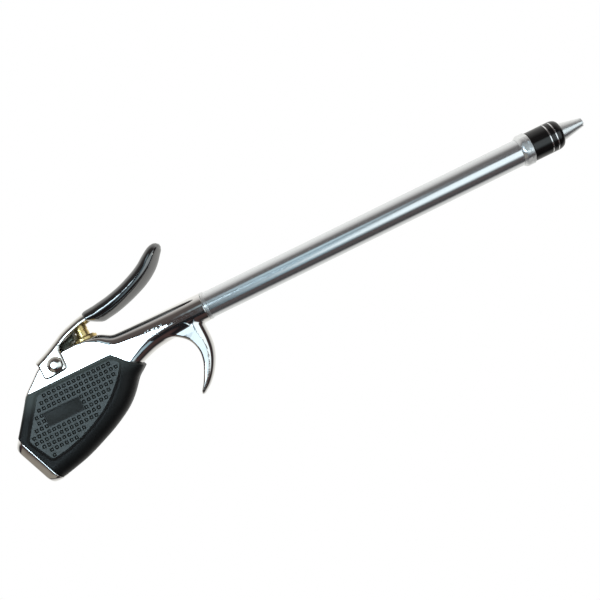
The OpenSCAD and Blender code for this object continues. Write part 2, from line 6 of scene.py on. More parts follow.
import bmesh
import bpy
import numpy as np
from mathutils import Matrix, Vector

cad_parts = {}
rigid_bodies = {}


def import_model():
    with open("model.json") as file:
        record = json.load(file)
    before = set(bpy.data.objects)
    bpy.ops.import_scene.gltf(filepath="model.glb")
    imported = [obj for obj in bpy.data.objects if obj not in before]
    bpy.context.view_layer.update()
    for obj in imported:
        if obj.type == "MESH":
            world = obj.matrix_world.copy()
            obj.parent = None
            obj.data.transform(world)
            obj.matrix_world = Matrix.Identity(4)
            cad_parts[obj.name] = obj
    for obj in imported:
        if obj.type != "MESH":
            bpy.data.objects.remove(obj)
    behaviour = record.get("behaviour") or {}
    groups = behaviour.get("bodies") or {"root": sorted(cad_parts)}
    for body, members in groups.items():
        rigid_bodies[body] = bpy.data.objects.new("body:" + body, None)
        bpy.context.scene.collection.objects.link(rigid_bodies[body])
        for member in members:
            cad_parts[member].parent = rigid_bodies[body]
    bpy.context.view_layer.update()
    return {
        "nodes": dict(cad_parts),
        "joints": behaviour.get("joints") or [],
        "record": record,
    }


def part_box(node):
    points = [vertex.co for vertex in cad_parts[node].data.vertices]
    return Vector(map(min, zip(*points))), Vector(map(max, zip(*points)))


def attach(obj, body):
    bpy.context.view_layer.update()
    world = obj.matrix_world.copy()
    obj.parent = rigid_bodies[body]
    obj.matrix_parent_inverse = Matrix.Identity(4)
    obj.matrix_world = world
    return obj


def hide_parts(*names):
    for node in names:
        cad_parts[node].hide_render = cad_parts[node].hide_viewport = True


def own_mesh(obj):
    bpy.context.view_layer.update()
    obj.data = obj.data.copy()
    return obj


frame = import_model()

import openvdb
from mathutils import Matrix, Vector

mm = 0.001
joints = {joint["name"]: joint for joint in frame["joints"]}

# The barrel's axis at the socket's mouth: every list of places below is in millimetres from it
mouth = Vector((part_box("handle_casting")[1].x, 0, joints["nozzle_turn"]["pos_m"][2]))
mouthMm = np.array(mouth) / mm
pivot = np.array(joints["lever_press"]["pos_m"]) / mm - mouthMm
valveX = sum(corner.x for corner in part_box("valve_plunger")) / 2 / mm - mouthMm[0]
inletAxis = frame["record"]["mounts"][0]["axis"]
outward = np.array([inletAxis[0], inletAxis[2]])  # out of the inlet's mouth, as x and z
across = np.array([-outward[1], outward[0]])  # along the foot, as x and z
inlet = -mouthMm[[0, 2]]


# Lines and solids

def smoothLine(points, steps=10):
    # points strung on a Catmull-Rom spline, of any number of columns
    p = np.array(points, float)
    p = np.vstack([2 * p[0] - p[1], p, 2 * p[-1] - p[-2]])
    t = np.linspace(0, 1, steps, endpoint=False)[:, None]
    spans = []
    for a, b, c, d in zip(p[:-3], p[1:-2], p[2:-1], p[3:]):
        spans.append(0.5 * (2 * b + (c - a) * t + (2 * a - 5 * b + 4 * c - d) * t**2
                            + (3 * b - a - 3 * c + d) * t**3))
    return np.vstack(spans + [p[-2:-1]])


def roundedOutline(corners, radius, steps=5, share=0.45, support=0):
    # a closed outline with each corner cut by an arc of at most that share of its sides;
    # support adds a point before and after the arc, that many cuts from the corner
    p = np.array(corners, float)
    line = []
    for before, here, after in zip(np.roll(p, 1, 0), p, np.roll(p, -1, 0)):
        a, b = before - here, after - here
        lenA, lenB = np.linalg.norm(a), np.linalg.norm(b)
        cut = min(radius, share * lenA, share * lenB)
        start, end = a / lenA * cut, b / lenB * cut
        arc = [here + (1 - t)**2 * start + t**2 * end for t in np.linspace(0, 1, steps)]
        line += [here + start * support] + arc + [here + end * support] if support else arc
    return np.array(line)


def fromSegment(x, z, a, b):
    # a segment's direction, how far along it the nearest place is, and the way from there
    vx, vz = b - a
    t = np.clip(((x - a[0]) * vx + (z - a[1]) * vz) / (vx * vx + vz * vz), 0, 1)
    return vx, vz, t, x - a[0] - t * vx, z - a[1] - t * vz


def alongLine(x, z, line):
    # distance to a line of (x, z) points, positive on its left, and the place along it
    best, distance, place = np.inf, 0.0, 0.0
    for i, (a, b) in enumerate(zip(line[:-1], line[1:])):
        vx, vz, t, dx, dz = fromSegment(x, z, a, b)
        square = dx * dx + dz * dz
        left = np.where(vx * dz - vz * dx >= 0, 1.0, -1.0)
        near = square < best
        best = np.where(near, square, best)
        distance = np.where(near, left * np.sqrt(square), distance)
        place = np.where(near, i + t, place)
    return distance, place


def outlineDistance(x, z, outline):
    # distance to a closed outline, negative inside
    best, inside = np.inf, False
    for a, b in zip(outline, np.roll(outline, -1, 0)):
        vx, vz, _, dx, dz = fromSegment(x, z, a, b)
        best = np.minimum(best, dx**2 + dz**2)
        if vz:
            inside = inside ^ (((a[1] > z) != (b[1] > z)) & (x < a[0] + (z - a[1]) * vx / vz))
    return np.where(inside, -1, 1) * np.sqrt(best)


def joined(a, b, blend):
    # union with a fillet of about that size
    h = np.clip(0.5 + 0.5 * (b - a) / blend, 0, 1)
    return b + (a - b) * h - blend * h * (1 - h)


def shared(a, b, radius):
    # intersection with its edge rounded
    corner = np.hypot(np.maximum(a + radius, 0), np.maximum(b + radius, 0)) - radius
    return np.minimum(np.maximum(a, b), -radius) + corner + radius


def linked(name, data):
    made = bpy.data.objects.new(name, data)
    bpy.context.scene.collection.objects.link(made)
    return made


def mended(mesh, recalculated=False):
    # doubles merged, and the faces turned outwards
    work = bmesh.new()
    work.from_mesh(mesh)
    bmesh.ops.remove_doubles(work, verts=work.verts, dist=1e-6)
    if recalculated:
        bmesh.ops.recalc_face_normals(work, faces=work.faces)
    if work.calc_volume(signed=True) < 0:
        bmesh.ops.reverse_faces(work, faces=work.faces)
    work.to_mesh(mesh)
    work.free()
    return mesh


def outwardMesh(points, faces):
    mesh = bpy.data.meshes.new("piece")
    mesh.from_pydata([tuple(p) for p in points], [], [tuple(int(i) for i in f) for f in faces])
    return mended(mesh)


def ringFaces(rings, sides, closed=False):
    # quads between neighbouring rings of points; closed joins the last ring to the first
    faces = []
    for i in range(rings if closed else rings - 1):
        low, high = i * sides, (i + 1) % rings * sides
        for j in range(sides):
            k = (j + 1) % sides
            faces.append((low + j, low + k, high + k, high + j))
    return faces


def lofted(rings):
    # a mesh through rings of points, with a face over each end
    points, sides = [p for ring in rings for p in ring], len(rings[0])
    ends = [tuple(range(sides))[::-1], tuple(range(len(points) - sides, len(points)))]
    return outwardMesh(points, ringFaces(len(rings), sides) + ends)


def addPiece(name, mesh, slot, replaced=(), body="handle", sharp=35, material=None):
    # sharp is the angle of a sharp edge in degrees, or 0 for a mesh that has normals of its own
    piece, mesh.name = linked(name, mesh), name
    mesh.materials.clear()
    mesh.materials.append(material or finish[slot])
    if sharp:
        mesh.shade_smooth()
        mesh.set_sharp_from_angle(angle=math.radians(sharp))
    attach(piece, body)
    if replaced:
        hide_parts(*replaced)
    print(f"{name}: {len(mesh.polygons)} faces")
    return piece


def slopes(field, points, reach):
    # the field's value and gradient at each point
    value = field(*points.T)
    return value, np.stack([(field(*(points + reach * axis).T) - value) / reach
                            for axis in np.eye(3)], axis=1)


def solidFromField(field, low, high, step):
    # the surface where field(x, y, z) is zero, in millimetres from the socket's mouth
    counts = [int(math.ceil((b - a) / step)) + 1 for a, b in zip(low, high)]
    x, y, z = [a + step * np.arange(n) for a, n in zip(low, counts)]
    values = field(x[:, None, None], y[None, :, None], z[None, None, :])
    grid = openvdb.FloatGrid(10.0)
    grid.copyFromArray(np.ascontiguousarray(np.broadcast_to(values, counts), dtype=np.float32))
    points, quads = grid.convertToQuads(isovalue=0.0)
    points = np.array(low) + step * points.astype(float)
    reach = step / 20
    for _ in range(2):  # the points are pulled onto the true surface
        value, slope = slopes(field, points, reach)
        move = slope * (value / np.maximum((slope**2).sum(1), 0.2))[:, None]
        points -= np.clip(move, -step / 2, step / 2)
    mesh = outwardMesh((points + mouthMm) * mm, quads)
    shadeByField(mesh, field, reach)
    return mesh


def shadeByField(mesh, field, reach):
    # the shading follows the true surface, but for faces that a corner turns away from it
    def read(items, key, width):
        values = np.empty(len(items) * width)
        items.foreach_get(key, values)
        return values.reshape(-1, width)

    slope = slopes(field, read(mesh.vertices, "co", 3) / mm - mouthMm, reach)[1]
    slope /= np.maximum(np.linalg.norm(slope, axis=1), 1e-9)[:, None]
    sizes = read(mesh.polygons, "loop_total", 1)[:, 0].astype(int)
    flat = np.repeat(read(mesh.polygons, "normal", 3), sizes, axis=0)
    true = slope[read(mesh.loops, "vertex_index", 1)[:, 0].astype(int)]
    near = (flat * true).sum(1) > 0.5
    mesh.shade_smooth()
    mesh.normals_split_custom_set(np.where(near[:, None], true, flat))


def turnedMesh(profile, place, segments=96, shape=None):
    # profile of (along, radius) points turned about the axis that place carries Z to;
    # shape, where there is one, gives the radius at (along, radius, angle)
    points = [place @ Vector((r * math.cos(t), r * math.sin(t), along)) * mm
              for along, radius in profile
              for t in np.arange(segments) * 2 * math.pi / segments
              for r in [shape(along, radius, t) if shape else radius]]
    return outwardMesh(points, ringFaces(len(profile), segments, True))


def eased(profile, radius):
    # a closed profile with small round corners
    return roundedOutline(profile, radius, 4, 0.3, 1.5)


alongBarrel = Matrix.Translation(mouth / mm) @ Matrix.Rotation(math.radians(90), 4, "Y")
acrossPivot = (Matrix.Translation(Vector(pivot + mouthMm))
               @ Matrix.Rotation(math.radians(90), 4, "X"))


# Materials

class Num:
    # a socket that can be reckoned with
    def __init__(self, owner, socket):
        self.owner, self.socket = owner, socket

    def __add__(self, other):
        return self.owner.calc("ADD", self, other)

    __radd__ = __add__

    def __sub__(self, other):
        return self.owner.calc("SUBTRACT", self, other)

    def __rsub__(self, other):
        return self.owner.calc("SUBTRACT", other, self)

    def __mul__(self, other):
        return self.owner.calc("MULTIPLY", self, other)

    __rmul__ = __mul__

    def __truediv__(self, other):
        return self.owner.calc("DIVIDE", self, other)


class Nodes:
    # adds nodes to the tree of a shader or of Geometry Nodes
    def __init__(self, tree):
        self.tree = tree
        tree.nodes.clear()

    def node(self, kind, settings=None, inputs=None, output=0):
        # a list as an input is several links to one socket
        made = self.tree.nodes.new(kind)
        for key, value in (settings or {}).items():
            if key == "stops":
                while len(made.color_ramp.elements) < len(value):
                    made.color_ramp.elements.new(0.5)
                for element, (place, colour) in zip(made.color_ramp.elements, value):
                    element.position = place
                    element.color = (*colour, 1)
            else:
                setattr(made, key, value)
        for key, value in (inputs or {}).items():
            for one in value if isinstance(value, list) else [value]:
                if isinstance(one, Num):
                    self.tree.links.new(one.socket, made.inputs[key])
                else:
                    made.inputs[key].default_value = one
        return Num(self, made.outputs[output]) if made.outputs else made

    def calc(self, operation, *values, kind="ShaderNodeMath"):
        return self.node(kind, {"operation": operation}, dict(enumerate(values)))

    def split(self, vector):
        return [self.node("ShaderNodeSeparateXYZ", None, {"Vector": vector}, output=i)
                for i in range(3)]


class Paint(Nodes):
    # a material's nodes, or those of the tree that is given
    def __init__(self, name, tree=None):
        if tree is None:
            self.material = bpy.data.materials.new(name)
            self.material.use_nodes = True
            tree = self.material.node_tree
        super().__init__(tree)

    def step(self, value, low, high):
        # 0 below low, 1 above high and smooth between
        return self.node("ShaderNodeMapRange", {"interpolation_type": "SMOOTHSTEP"},
                         {"Value": value, "From Min": low, "From Max": high})

    def window(self, value, low, high, soft):
        return (self.step(value, low - soft, low + soft)
                * (1 - self.step(value, high - soft, high + soft)))

    def places(self, scale=(1, 1, 1)):
        spot = self.node("ShaderNodeTexCoord", output="Object")
        return self.node("ShaderNodeMapping", None, {"Vector": spot, "Scale": scale})

    def noise(self, where, scale, detail=3, rough=0.6):
        return self.node("ShaderNodeTexNoise", None, {"Vector": where, "Scale": scale,
                         "Detail": detail, "Roughness": rough})

    def mixed(self, factor, a, b):
        return self.node("ShaderNodeMix", {"data_type": "RGBA"},
                         {"Factor": factor, "A": (*a, 1) if isinstance(a, tuple) else a,
                          "B": (*b, 1) if isinstance(b, tuple) else b}, output="Result")

    def surface(self, height, **inputs):
        # height, in metres, shades the bumps
        named = {key.replace("_", " "): value for key, value in inputs.items()}
        named["Normal"] = self.node("ShaderNodeBump", None, {"Height": height, "Distance": 1.0,
                                                             "Strength": 1.0})
        shader = self.node("ShaderNodeBsdfPrincipled", None, named)
        self.node("ShaderNodeOutputMaterial", None, {"Surface": shader})
        return self.material


# Camera

camera = {
    "roll": 26.09,  # degrees that the barrel climbs in the picture
    "place": (0.2125, -0.62, 0.02405),
    "lens": 53.68, "sensor": 36, "reach": 100,
}


def makeCamera():
    turn = math.radians(camera["roll"])
    right = Vector((math.cos(turn), 0, -math.sin(turn)))
    up = Vector((math.sin(turn), 0, math.cos(turn)))
    seen = linked("camera", bpy.data.cameras.new("camera"))
    axes = Matrix((right, up, Vector((0, -1, 0)))).transposed().to_4x4()
    seen.matrix_world = Matrix.Translation(Vector(camera["place"])) @ axes
    seen.data.lens, seen.data.sensor_width = camera["lens"], camera["sensor"]
    seen.data.clip_end = camera["reach"]
    bpy.context.scene.camera = seen


# Studio: white all round for the camera, and what the polished metal sees of the room

studio = {
    # colours of the softbox on the left, the one on the right and the strip
    "boxes": ((1.05, 1.3, 1.46), (1.16, 1.3, 1.34), (6.8, 8.6, 9.6)),
    # a pale screen between the boxes, a grey card far to the left and a small light over the
    # screen: colour, then from, to and softness in degrees to the side and upwards
    "patches": [((0.33, 0.48, 0.56), (-4.2, 5, 0.8), (-45, 32, 4)),
                ((0.30, 0.275, 0.235), (-92, -47, 2), (-50, -13, 3)),
                ((0.62, 0.82, 0.90), (-5, 8, 3), (15, 28, 4))],
    "floorDrop": 0.12, "floorReach": 30,
    # degrees away from the camera's side, and what stands there above and below the barrel
    "above": [(0, (0.065, 0.047, 0.043)), (54, (0.112, 0.098, 0.093)), (66, (0.33, 0.315, 0.3)),
              (76, (0.56, 0.545, 0.53)), (85, (0.72, 0.71, 0.69)), (95, (0.8, 0.79, 0.76)),
              (107, (0.95, 0.95, 0.92)), (122, (0.98, 0.98, 0.95)), (180, (1.1, 1.1, 1.06))],
    "below": [(0, (0.065, 0.047, 0.043)), (24, (0.06, 0.05, 0.05)), (30, (0.012, 0.012, 0.014)),
              (46, (0.014, 0.013, 0.015)), (52, (0.07, 0.042, 0.04)), (76, (0.05, 0.034, 0.032)),
              (88, (0.02, 0.02, 0.022)), (95, (0.05, 0.05, 0.05)), (101, (0.28, 0.27, 0.26)),
              (109, (0.62, 0.61, 0.59)), (126, (0.8, 0.8, 0.77)), (180, (1.05, 1.05, 1.02))],
}


def paintRoom():
    world = bpy.data.worlds.new("studio")
    world.use_nodes = True
    bpy.context.scene.world = world
    p = Paint("studio", world.node_tree)
    where = p.node("ShaderNodeTexCoord", output="Generated")
    x, y, z = p.split(p.calc("NORMALIZE", where, kind="ShaderNodeVectorMath"))
    away = p.calc("ARCCOSINE", y * -1.0) / math.pi  # from the camera's side
    side = p.calc("ARCTAN2", x, y * -1.0) * (180 / math.pi)
    lift = p.calc("ARCSINE", z) * (180 / math.pi)
    above, below = [p.node("ShaderNodeValToRGB", {
        "stops": [(degrees / 180, colour) for degrees, colour in studio[key]]},
        {"Fac": away}) for key in ("above", "below")]
    colour = p.mixed(p.step(z, 0.1, 0.45), below, above)
    # a softbox with a bright strip on the left, and one that leans on the right, in degrees
    crest = p.calc("MINIMUM", p.calc("MAXIMUM", -9 - side, 0.0), 6.0) * 1.1 + 1.8
    left = (1 - p.step(side + lift * 0.25, -9.9, -8.9)) * p.step(side, -41, -39)
    left = left * p.step(lift - side * 0.4, -7, -5) * (1 - p.step(lift - crest, -0.8, 0.8))
    strip = left * p.step(lift, -2.5, -1.5) * p.step(side, -33, -31)
    right = p.step(side - lift * 0.32, 6.4, 8.2) * p.window(side, -1, 58, 2)
    foot = lift + p.calc("MINIMUM", side, 12.0) * 0.9
    right = right * p.step(foot, -37, -14) * (1 - p.step(lift, 3, 13))
    glow = colour
    for shade, sideways, upwards in studio["patches"]:
        glow = p.mixed(p.window(side, *sideways) * p.window(lift, *upwards), glow, shade)
    for share, shade in zip((left, right, strip), studio["boxes"]):
        glow = p.mixed(share, glow, shade)
    seen = p.node("ShaderNodeBackground", None, {"Color": (1, 1, 1, 1), "Strength": 1.0})
    felt = p.node("ShaderNodeBackground", None, {"Color": glow, "Strength": 1.0})
    ray = p.node("ShaderNodeLightPath", output="Is Camera Ray")
    both = p.node("ShaderNodeMixShader", None, {0: ray, 1: felt, 2: seen})
    p.node("ShaderNodeOutputWorld", None, {"Surface": both})
    world.cycles.sampling_method = "MANUAL"
    world.cycles.sample_map_resolution = 1024


def makeFloor():
    drop, reach = studio["floorDrop"], studio["floorReach"]
    mesh = bpy.data.meshes.new("floor")
    corners = [(reach * a, reach * b, -drop) for a, b in ((-1, -1), (1, -1), (1, 1), (-1, 1))]
    mesh.from_pydata(corners, [], [(0, 1, 2, 3)])
    floor = linked("floor", mesh)
    p = Paint("paleFloor")
    shader = p.node("ShaderNodeEmission", None, {"Color": (1, 1, 1, 1), "Strength": 1.0})
    p.node("ShaderNodeOutputMaterial", None, {"Surface": shader})
    mesh.materials.append(p.material)
    floor.visible_glossy = floor.visible_diffuse = floor.visible_shadow = False


def makeLights():
    softboxes = {  # place, turn about X and Z in degrees, size and power
        "keyLight": ((0.0, -0.75, 0.75), (45, 0, 0), (0.7, 0.5), 3),
        "fillLight": ((0.75, -0.55, 0.1), (85, 0, 50), (0.4, 0.8), 1.2),
        "backLight": ((0.1, 0.7, 0.6), (-52, 0, 0), (1.0, 0.5), 2.5),
    }
    for name, (place, turn, size, power) in softboxes.items():
        light = bpy.data.lights.new(name, "AREA")
        light.shape, light.size, light.size_y, light.energy = "RECTANGLE", *size, power
        lamp = linked(name, light)
        lamp.location = place
        lamp.rotation_euler = [math.radians(a) for a in turn]
        lamp.visible_glossy = lamp.visible_camera = False


makeCamera()
paintRoom()
makeFloor()
makeLights()
bpy.context.scene.view_settings.view_transform = "Standard"
print("camera, room and lights")


# Finishes

finishes = {
    "chromeTint": (0.83, 0.82, 0.81), "chromeSmear": (0.72, 0.71, 0.70),
    "chromeLugShade": (0.15, 0.155, 0.125),
    # the part of the neck that was left rough under the plating: its middle, and how far from
    # there it starts and is full, along the barrel and upwards, in metres from the mouth
    "roughAlong": (-0.040, 0.012, 0.004), "roughUp": (-0.0002, 0.0042, 0.001),
    # the lug between the lever's ears is above and behind these; it is rougher, and painted darker
    # as shade under the lever
    "shadedLugAbove": 0.0156, "shadedLugBehind": -0.088, "shadedLugFade": (0.0006, 0.001),
    # the paler colour of the grip's top rim, which is painted light, and the heights where it
    # starts and is full
    "rubberTopLight": (0.063, 0.076, 0.073), "topLightFrom": (0.030, 0.046),
    # the lattice's two colours, and the painted shade in its pits
    "waffle": ((0.034, 0.043, 0.043), (0.058, 0.070, 0.069)), "wafflePitShade": (0.0015, 0.0018, 0.0018),
    "vinyl": ((0.005, 0.005, 0.0055), (0.01, 0.01, 0.011)),
    "anodised": ((0.003, 0.003, 0.003), (0.008, 0.007, 0.007)), "bareRing": (0.86, 0.86, 0.86),
}


def chromePlate():
    d = finishes
    p = Paint("chromePlate")
    spot = p.places()
    x, _, z = p.split(spot)
    (x0, *alongFade), (z0, *upFade) = d["roughAlong"], d["roughUp"]
    rough = p.step(p.calc("ABSOLUTE", x - (mouth.x + x0)), *alongFade)
    rough = rough * p.step(p.calc("ABSOLUTE", z - (mouth.z + z0)), *upFade)
    height = (p.noise(spot, 90, 2, 0.4) * 0.00008 + p.noise(spot, 700) * 0.000003
              + p.step(p.noise(spot, 520, 2, 0.5), 0.5, 0.7) * rough * 0.0001)
    smear = p.noise(spot, 160, 4)
    above, behind = mouth.z + d["shadedLugAbove"], mouth.x + d["shadedLugBehind"]
    fadeUp, fadeAlong = d["shadedLugFade"]
    # painted shade on the lug under the lever, which is also made rougher
    shadedRoughLug = p.step(z, above, above + fadeUp) * (1 - p.step(x, behind - fadeAlong, behind))
    colour = p.mixed(smear * 0.25, d["chromeTint"], d["chromeSmear"])
    return p.surface(height, Base_Color=p.mixed(shadedRoughLug, colour, d["chromeLugShade"]), Metallic=1.0,
                     Roughness=0.035 + smear * 0.05 + shadedRoughLug * 0.4)


def metal(name, marks, smears, colours, shares, depths, rough, drawn=None, **inputs):
    # marks is the stretch and detail of the noise that a tool or a roller left, smears the
    # scale and detail of a cloud, shares what each adds of the second colour, depths what
    # each adds to the height, rough the least roughness and what the smears add, and drawn
    # the stretch of a second noise as deep as the marks
    p = Paint(name)
    mark, smear = p.noise(p.places(marks[0]), 1, marks[1]), p.noise(p.places(), *smears)
    height = mark * depths[0] + smear * depths[1]
    if drawn:
        height = height + p.noise(p.places(drawn), 1) * depths[0]
    return p.surface(height,
                     Base_Color=p.mixed(mark * shares[0] + smear * shares[1], *colours),
                     Roughness=rough[0] + smear * rough[1], **inputs)


def grained(name, stretch, scale, detail, colours, rough, depth, **inputs):
    # one noise mixes two colours and gives the roughness and the bumps
    p = Paint(name)
    grain = p.noise(p.places(stretch), scale, *detail)
    return p.surface(grain * depth, Base_Color=p.mixed(grain, *colours),
                     Roughness=rough[0] + grain * rough[1], **inputs)


def gripRubber(name, dark, pale):
    p = Paint(name)
    spot = p.places()
    grain, cloud = p.noise(spot, 2600), p.noise(spot, 70, 4)
    dust = p.step(p.noise(spot, 900, 4, 0.7), 0.55, 0.8)
    paintedTopLight = p.step(p.split(spot)[2], *finishes["topLightFrom"])  # paler along the top rim: painted light from above
    colour = p.mixed(paintedTopLight, p.mixed(cloud * 0.5 + dust * 0.12, dark, pale), finishes["rubberTopLight"])
    return p.surface(grain * 0.00004 + cloud * 0.00003, Base_Color=colour,
                     Roughness=0.38 + cloud * 0.14 + dust * 0.1, Specular_IOR_Level=0.22)


def waffleRubber(face):
    # face is how far from the middle the lattice stands, in metres
    p = Paint("waffleRubber")
    spot = p.places()
    cloud = p.noise(spot, 60, 4)
    aside = p.calc("ABSOLUTE", p.split(spot)[1])
    shown = p.step(aside, face - 0.0006, face - 0.0001)  # painted shade in the pits
    colour = p.mixed(shown, finishes["wafflePitShade"], p.mixed(cloud * 0.8, *finishes["waffle"]))
    return p.surface(p.noise(spot, 2300) * 0.00003, Base_Color=colour,
                     Roughness=0.9 - shown * (0.52 - cloud * 0.14), Specular_IOR_Level=0.6)


def dippedVinyl():
    p = Paint("dippedVinyl")
    spot = p.places()
    haze = p.noise(spot, 130, 4)
    return p.surface(p.noise(spot, 55, 3, 0.5) * 0.0002 + p.noise(spot, 800, 2, 0.5) * 0.000003,
                     Base_Color=p.mixed(haze * 0.6, *finishes["vinyl"]),
                     Roughness=0.05 + haze * 0.05, IOR=2.4)


def brassFinish():
    p = Paint("brassFinish")
    rings, tarnish = p.noise(p.places((60, 60, 4200)), 1, 2), p.noise(p.places(), 260, 4)
    colour = p.mixed(p.step(tarnish, 0.42, 0.75) * 0.5, (0.88, 0.67, 0.30), (0.55, 0.44, 0.19))
    return p.surface(rings * 0.00001, Base_Color=colour, Metallic=1.0,
                     Roughness=0.24 + tarnish * 0.14)


def blackAnodised(rings):
    # rings are the places along X, in metres, and widths of the grooves cut through the black
    p = Paint("blackAnodised")
    spot = p.places()
    x, cloud = p.split(spot)[0], p.noise(spot, 180, 4)
    bare, inner, outer = 0.0, 0.00012, 0.00006  # the edge's fade inside and outside the groove
    for place, width in rings:
        bare = bare + (1 - p.step(p.calc("ABSOLUTE", x - place), width / 2 - inner,
                                  width / 2 + outer))
    bare = p.calc("MINIMUM", bare, 1.0)
    colour = p.mixed(bare, p.mixed(cloud * 0.6, *finishes["anodised"]), finishes["bareRing"])
    return p.surface(p.noise(p.places((6000, 50, 50)), 1, 2) * 0.000005, Base_Color=colour,
                     Metallic=bare, Roughness=0.13 + cloud * 0.06)


turned = metal("turnedAluminium", ((5200, 40, 40), 2), (120, 3),
               ((0.82, 0.835, 0.85), (0.66, 0.66, 0.65)), (0.4, 0.2), (0.000003, 0),
               (0.27, 0.08), Metallic=0.9, Anisotropic=0.3)
plateRubber = gripRubber("plateRubber", (0.021, 0.0245, 0.0245), (0.029, 0.033, 0.033))
finish = {
    "chrome_casting": chromePlate(), "black_vinyl": dippedVinyl(), "brass": brassFinish(),
    "grip_rubber": gripRubber("gripRubber", (0.004, 0.0042, 0.0042), (0.008, 0.0085, 0.0085)),
    "satin_aluminium": metal(
        "barrelAluminium", ((2400, 60, 60), 3), (45, 4), ((0.82, 0.835, 0.85), (0.66, 0.68, 0.70)),
        (0.35, 0.2), (0.0000035, 0), (0.15, 0.06), (4, 300, 300), Metallic=0.92, Anisotropic=0.3),
    "plated_steel": metal(
        "platedSteel", ((140, 900, 900), 3), (110, 4), ((0.80, 0.79, 0.76), (0.66, 0.64, 0.58)),
        (0, 0.4), (0.000006, 0.00006), (0.09, 0.1), Metallic=1.0),
    "spring_steel": grained(
        "springSteel", (1, 1, 1), 1500, (3, 0.6), ((0.30, 0.30, 0.31), (0.50, 0.50, 0.51)),
        (0.26, 0.15), 0.00001, Metallic=1.0),
    "seal_rubber": grained(
        "sealRubber", (1, 1, 1), 1800, (3, 0.6), ((0.010, 0.010, 0.010), (0.028, 0.028, 0.028)),
        (0.45, 0.2), 0.00002),
    "fibre": grained(
        "redFibre", (900, 900, 3000), 1, (4, 0.7), ((0.12, 0.035, 0.02), (0.26, 0.09, 0.05)),
        (0.75, 0.15), 0.00005),
}
print("finishes")


# Cast handle

casting = {
    "voxel": 0.56,
    "top": [(16, 10.2), (0, 10.2), (-28, 10.2), (-43, 10.2), (-57, 10.3), (-63.9, 10.5),
            (-66.8, 11.1), (-69.2, 12.3), (-72.6, 14.1), (-76.4, 15.1), (-84, 15.2), (-92, 15.2),
            (-103, 14.7), (-110.6, 13.8), (-120, 11.9), (-128, 5.8), (-135.7, -0.5), (-138.5, -4)],
    "bottom": [(-134, -7), (-84, -7), (-80, -16), (-76, -26), (-70.5, -26.5), (-67, -23.8),
               (-63.9, -20.6), (-57, -16.9), (-50, -14.3), (-43, -12.2), (-36.4, -11.1),
               (-28, -10.4), (-14, -10.2), (0, -10.2), (16, -10.2)],
    # along the barrel, half width, edge radius above and below
    "edges": [(-140, 9.6, 2, 3), (-112, 9.4, 1.8, 3), (-103, 9.2, 0.6, 3), (-90.9, 9.2, 0.7, 3),
              (-84, 9.2, 1.6, 4), (-77.3, 9.2, 4.8, 4), (-69.2, 9.25, 7.2, 5.6),
              (-63.9, 9.5, 8, 6.8), (-57, 9.72, 8.6, 7.8), (-50, 9.97, 9.2, 8.8),
              (-43, 10.15, 9.7, 9.4), (-36.4, 10.28, 10, 9.6), (-28, 10.42, 10.3, 9.9),
              (-24, 10.42, 10.4, 10), (-13, 10.32, 10.3, 10.2), (0, 10.2, 10.2, 10.2),
              (16, 10.2, 10.2, 10.2)],
    "lug": [(-101.6, 0), (-93.3, 0), (-93.3, 18.4), (-89.9, 18.4), (-89.9, 23.2), (-101.6, 20.2)],
    "lugHalf": 8.1, "lugLean": 0.315, "lugLeanFrom": 12,
    # the hook's back and front from the root to the tip, and its half width at these heights
    "hookBack": [(-44, -4), (-35, -7.6), (-27.3, -10), (-19.6, -16.6), (-16.6, -25), (-17.3, -32.7),
                 (-20, -39.6), (-23.8, -46.6), (-27.1, -51.2), (-28.3, -53.2)],
    "hookFront": [(-28.3, -53.2), (-27.7, -54.2), (-26.2, -54.2), (-24.6, -53.3), (-19.6, -49.7),
                  (-13.9, -43.5), (-9.2, -35.8), (-6.3, -28.1), (-5.3, -20.4), (-5.4, -8.1),
                  (-5.5, 0)],
    "hookHalf": [(-55, 4.6), (-40, 5.9), (-25, 7.2), (-12, 8), (0, 8.2)],
    "hookLean": 0.06, "hookRound": (2.0, 7.6),
    "foot": (20.4, 12.2), "footShift": -2, "footCorner": 5.9, "footDepth": 7.5,
    "footTaper": 3.2, "footRound": 1.2,
    "core": [(-140, -44.2, 8.8), (-134, -41.8, 8.8), (-130, -40, 7), (-96, -25, 6.5),
             (-84, -12, 6.5)],
    "socket": 10.2, "barrelBore": 8.5, "barrelBoreDepth": 19.5, "bushBore": 7.7, "bushDepth": 15.5,
    "valveBore": 7.2, "valveWall": 8.8, "valveDepth": 27, "rivetHole": 2.5,
}
castingTop = smoothLine(casting["top"], 4)
castingOutline = np.vstack([castingTop, smoothLine(casting["bottom"], 4)])
castingEdges = np.array(casting["edges"])
hookBack, hookFront = smoothLine(casting["hookBack"], 4), smoothLine(casting["hookFront"], 4)
hookOutline = np.vstack([hookBack[:-1], hookFront])
hookHalf = np.array(casting["hookHalf"])
coreLine = np.array(casting["core"])


def hookField(x, y, z):
    # flat sides, a broad round front and a tight round back
    side = outlineDistance(x, z, hookOutline)
    back, _ = alongLine(x, z, hookBack)
    front, _ = alongLine(x, z, hookFront)
    wide = np.interp(z, hookHalf[:, 0], hookHalf[:, 1]) + casting["hookLean"] * (back - 5)
    tight, broad = casting["hookRound"]
    share = np.clip(0.5 + (np.abs(back) - np.abs(front)) / 3, 0, 1)
    radius = np.minimum(tight + (broad - tight) * share, wide)
    return shared(side, np.abs(y) - wide, radius)


def inletPlaces(x, z):
    # how far outside the mouth of the inlet, and how far along the foot
    return ((x - inlet[0]) * outward[0] + (z - inlet[1]) * outward[1],
            (x - inlet[0]) * across[0] + (z - inlet[1]) * across[1])


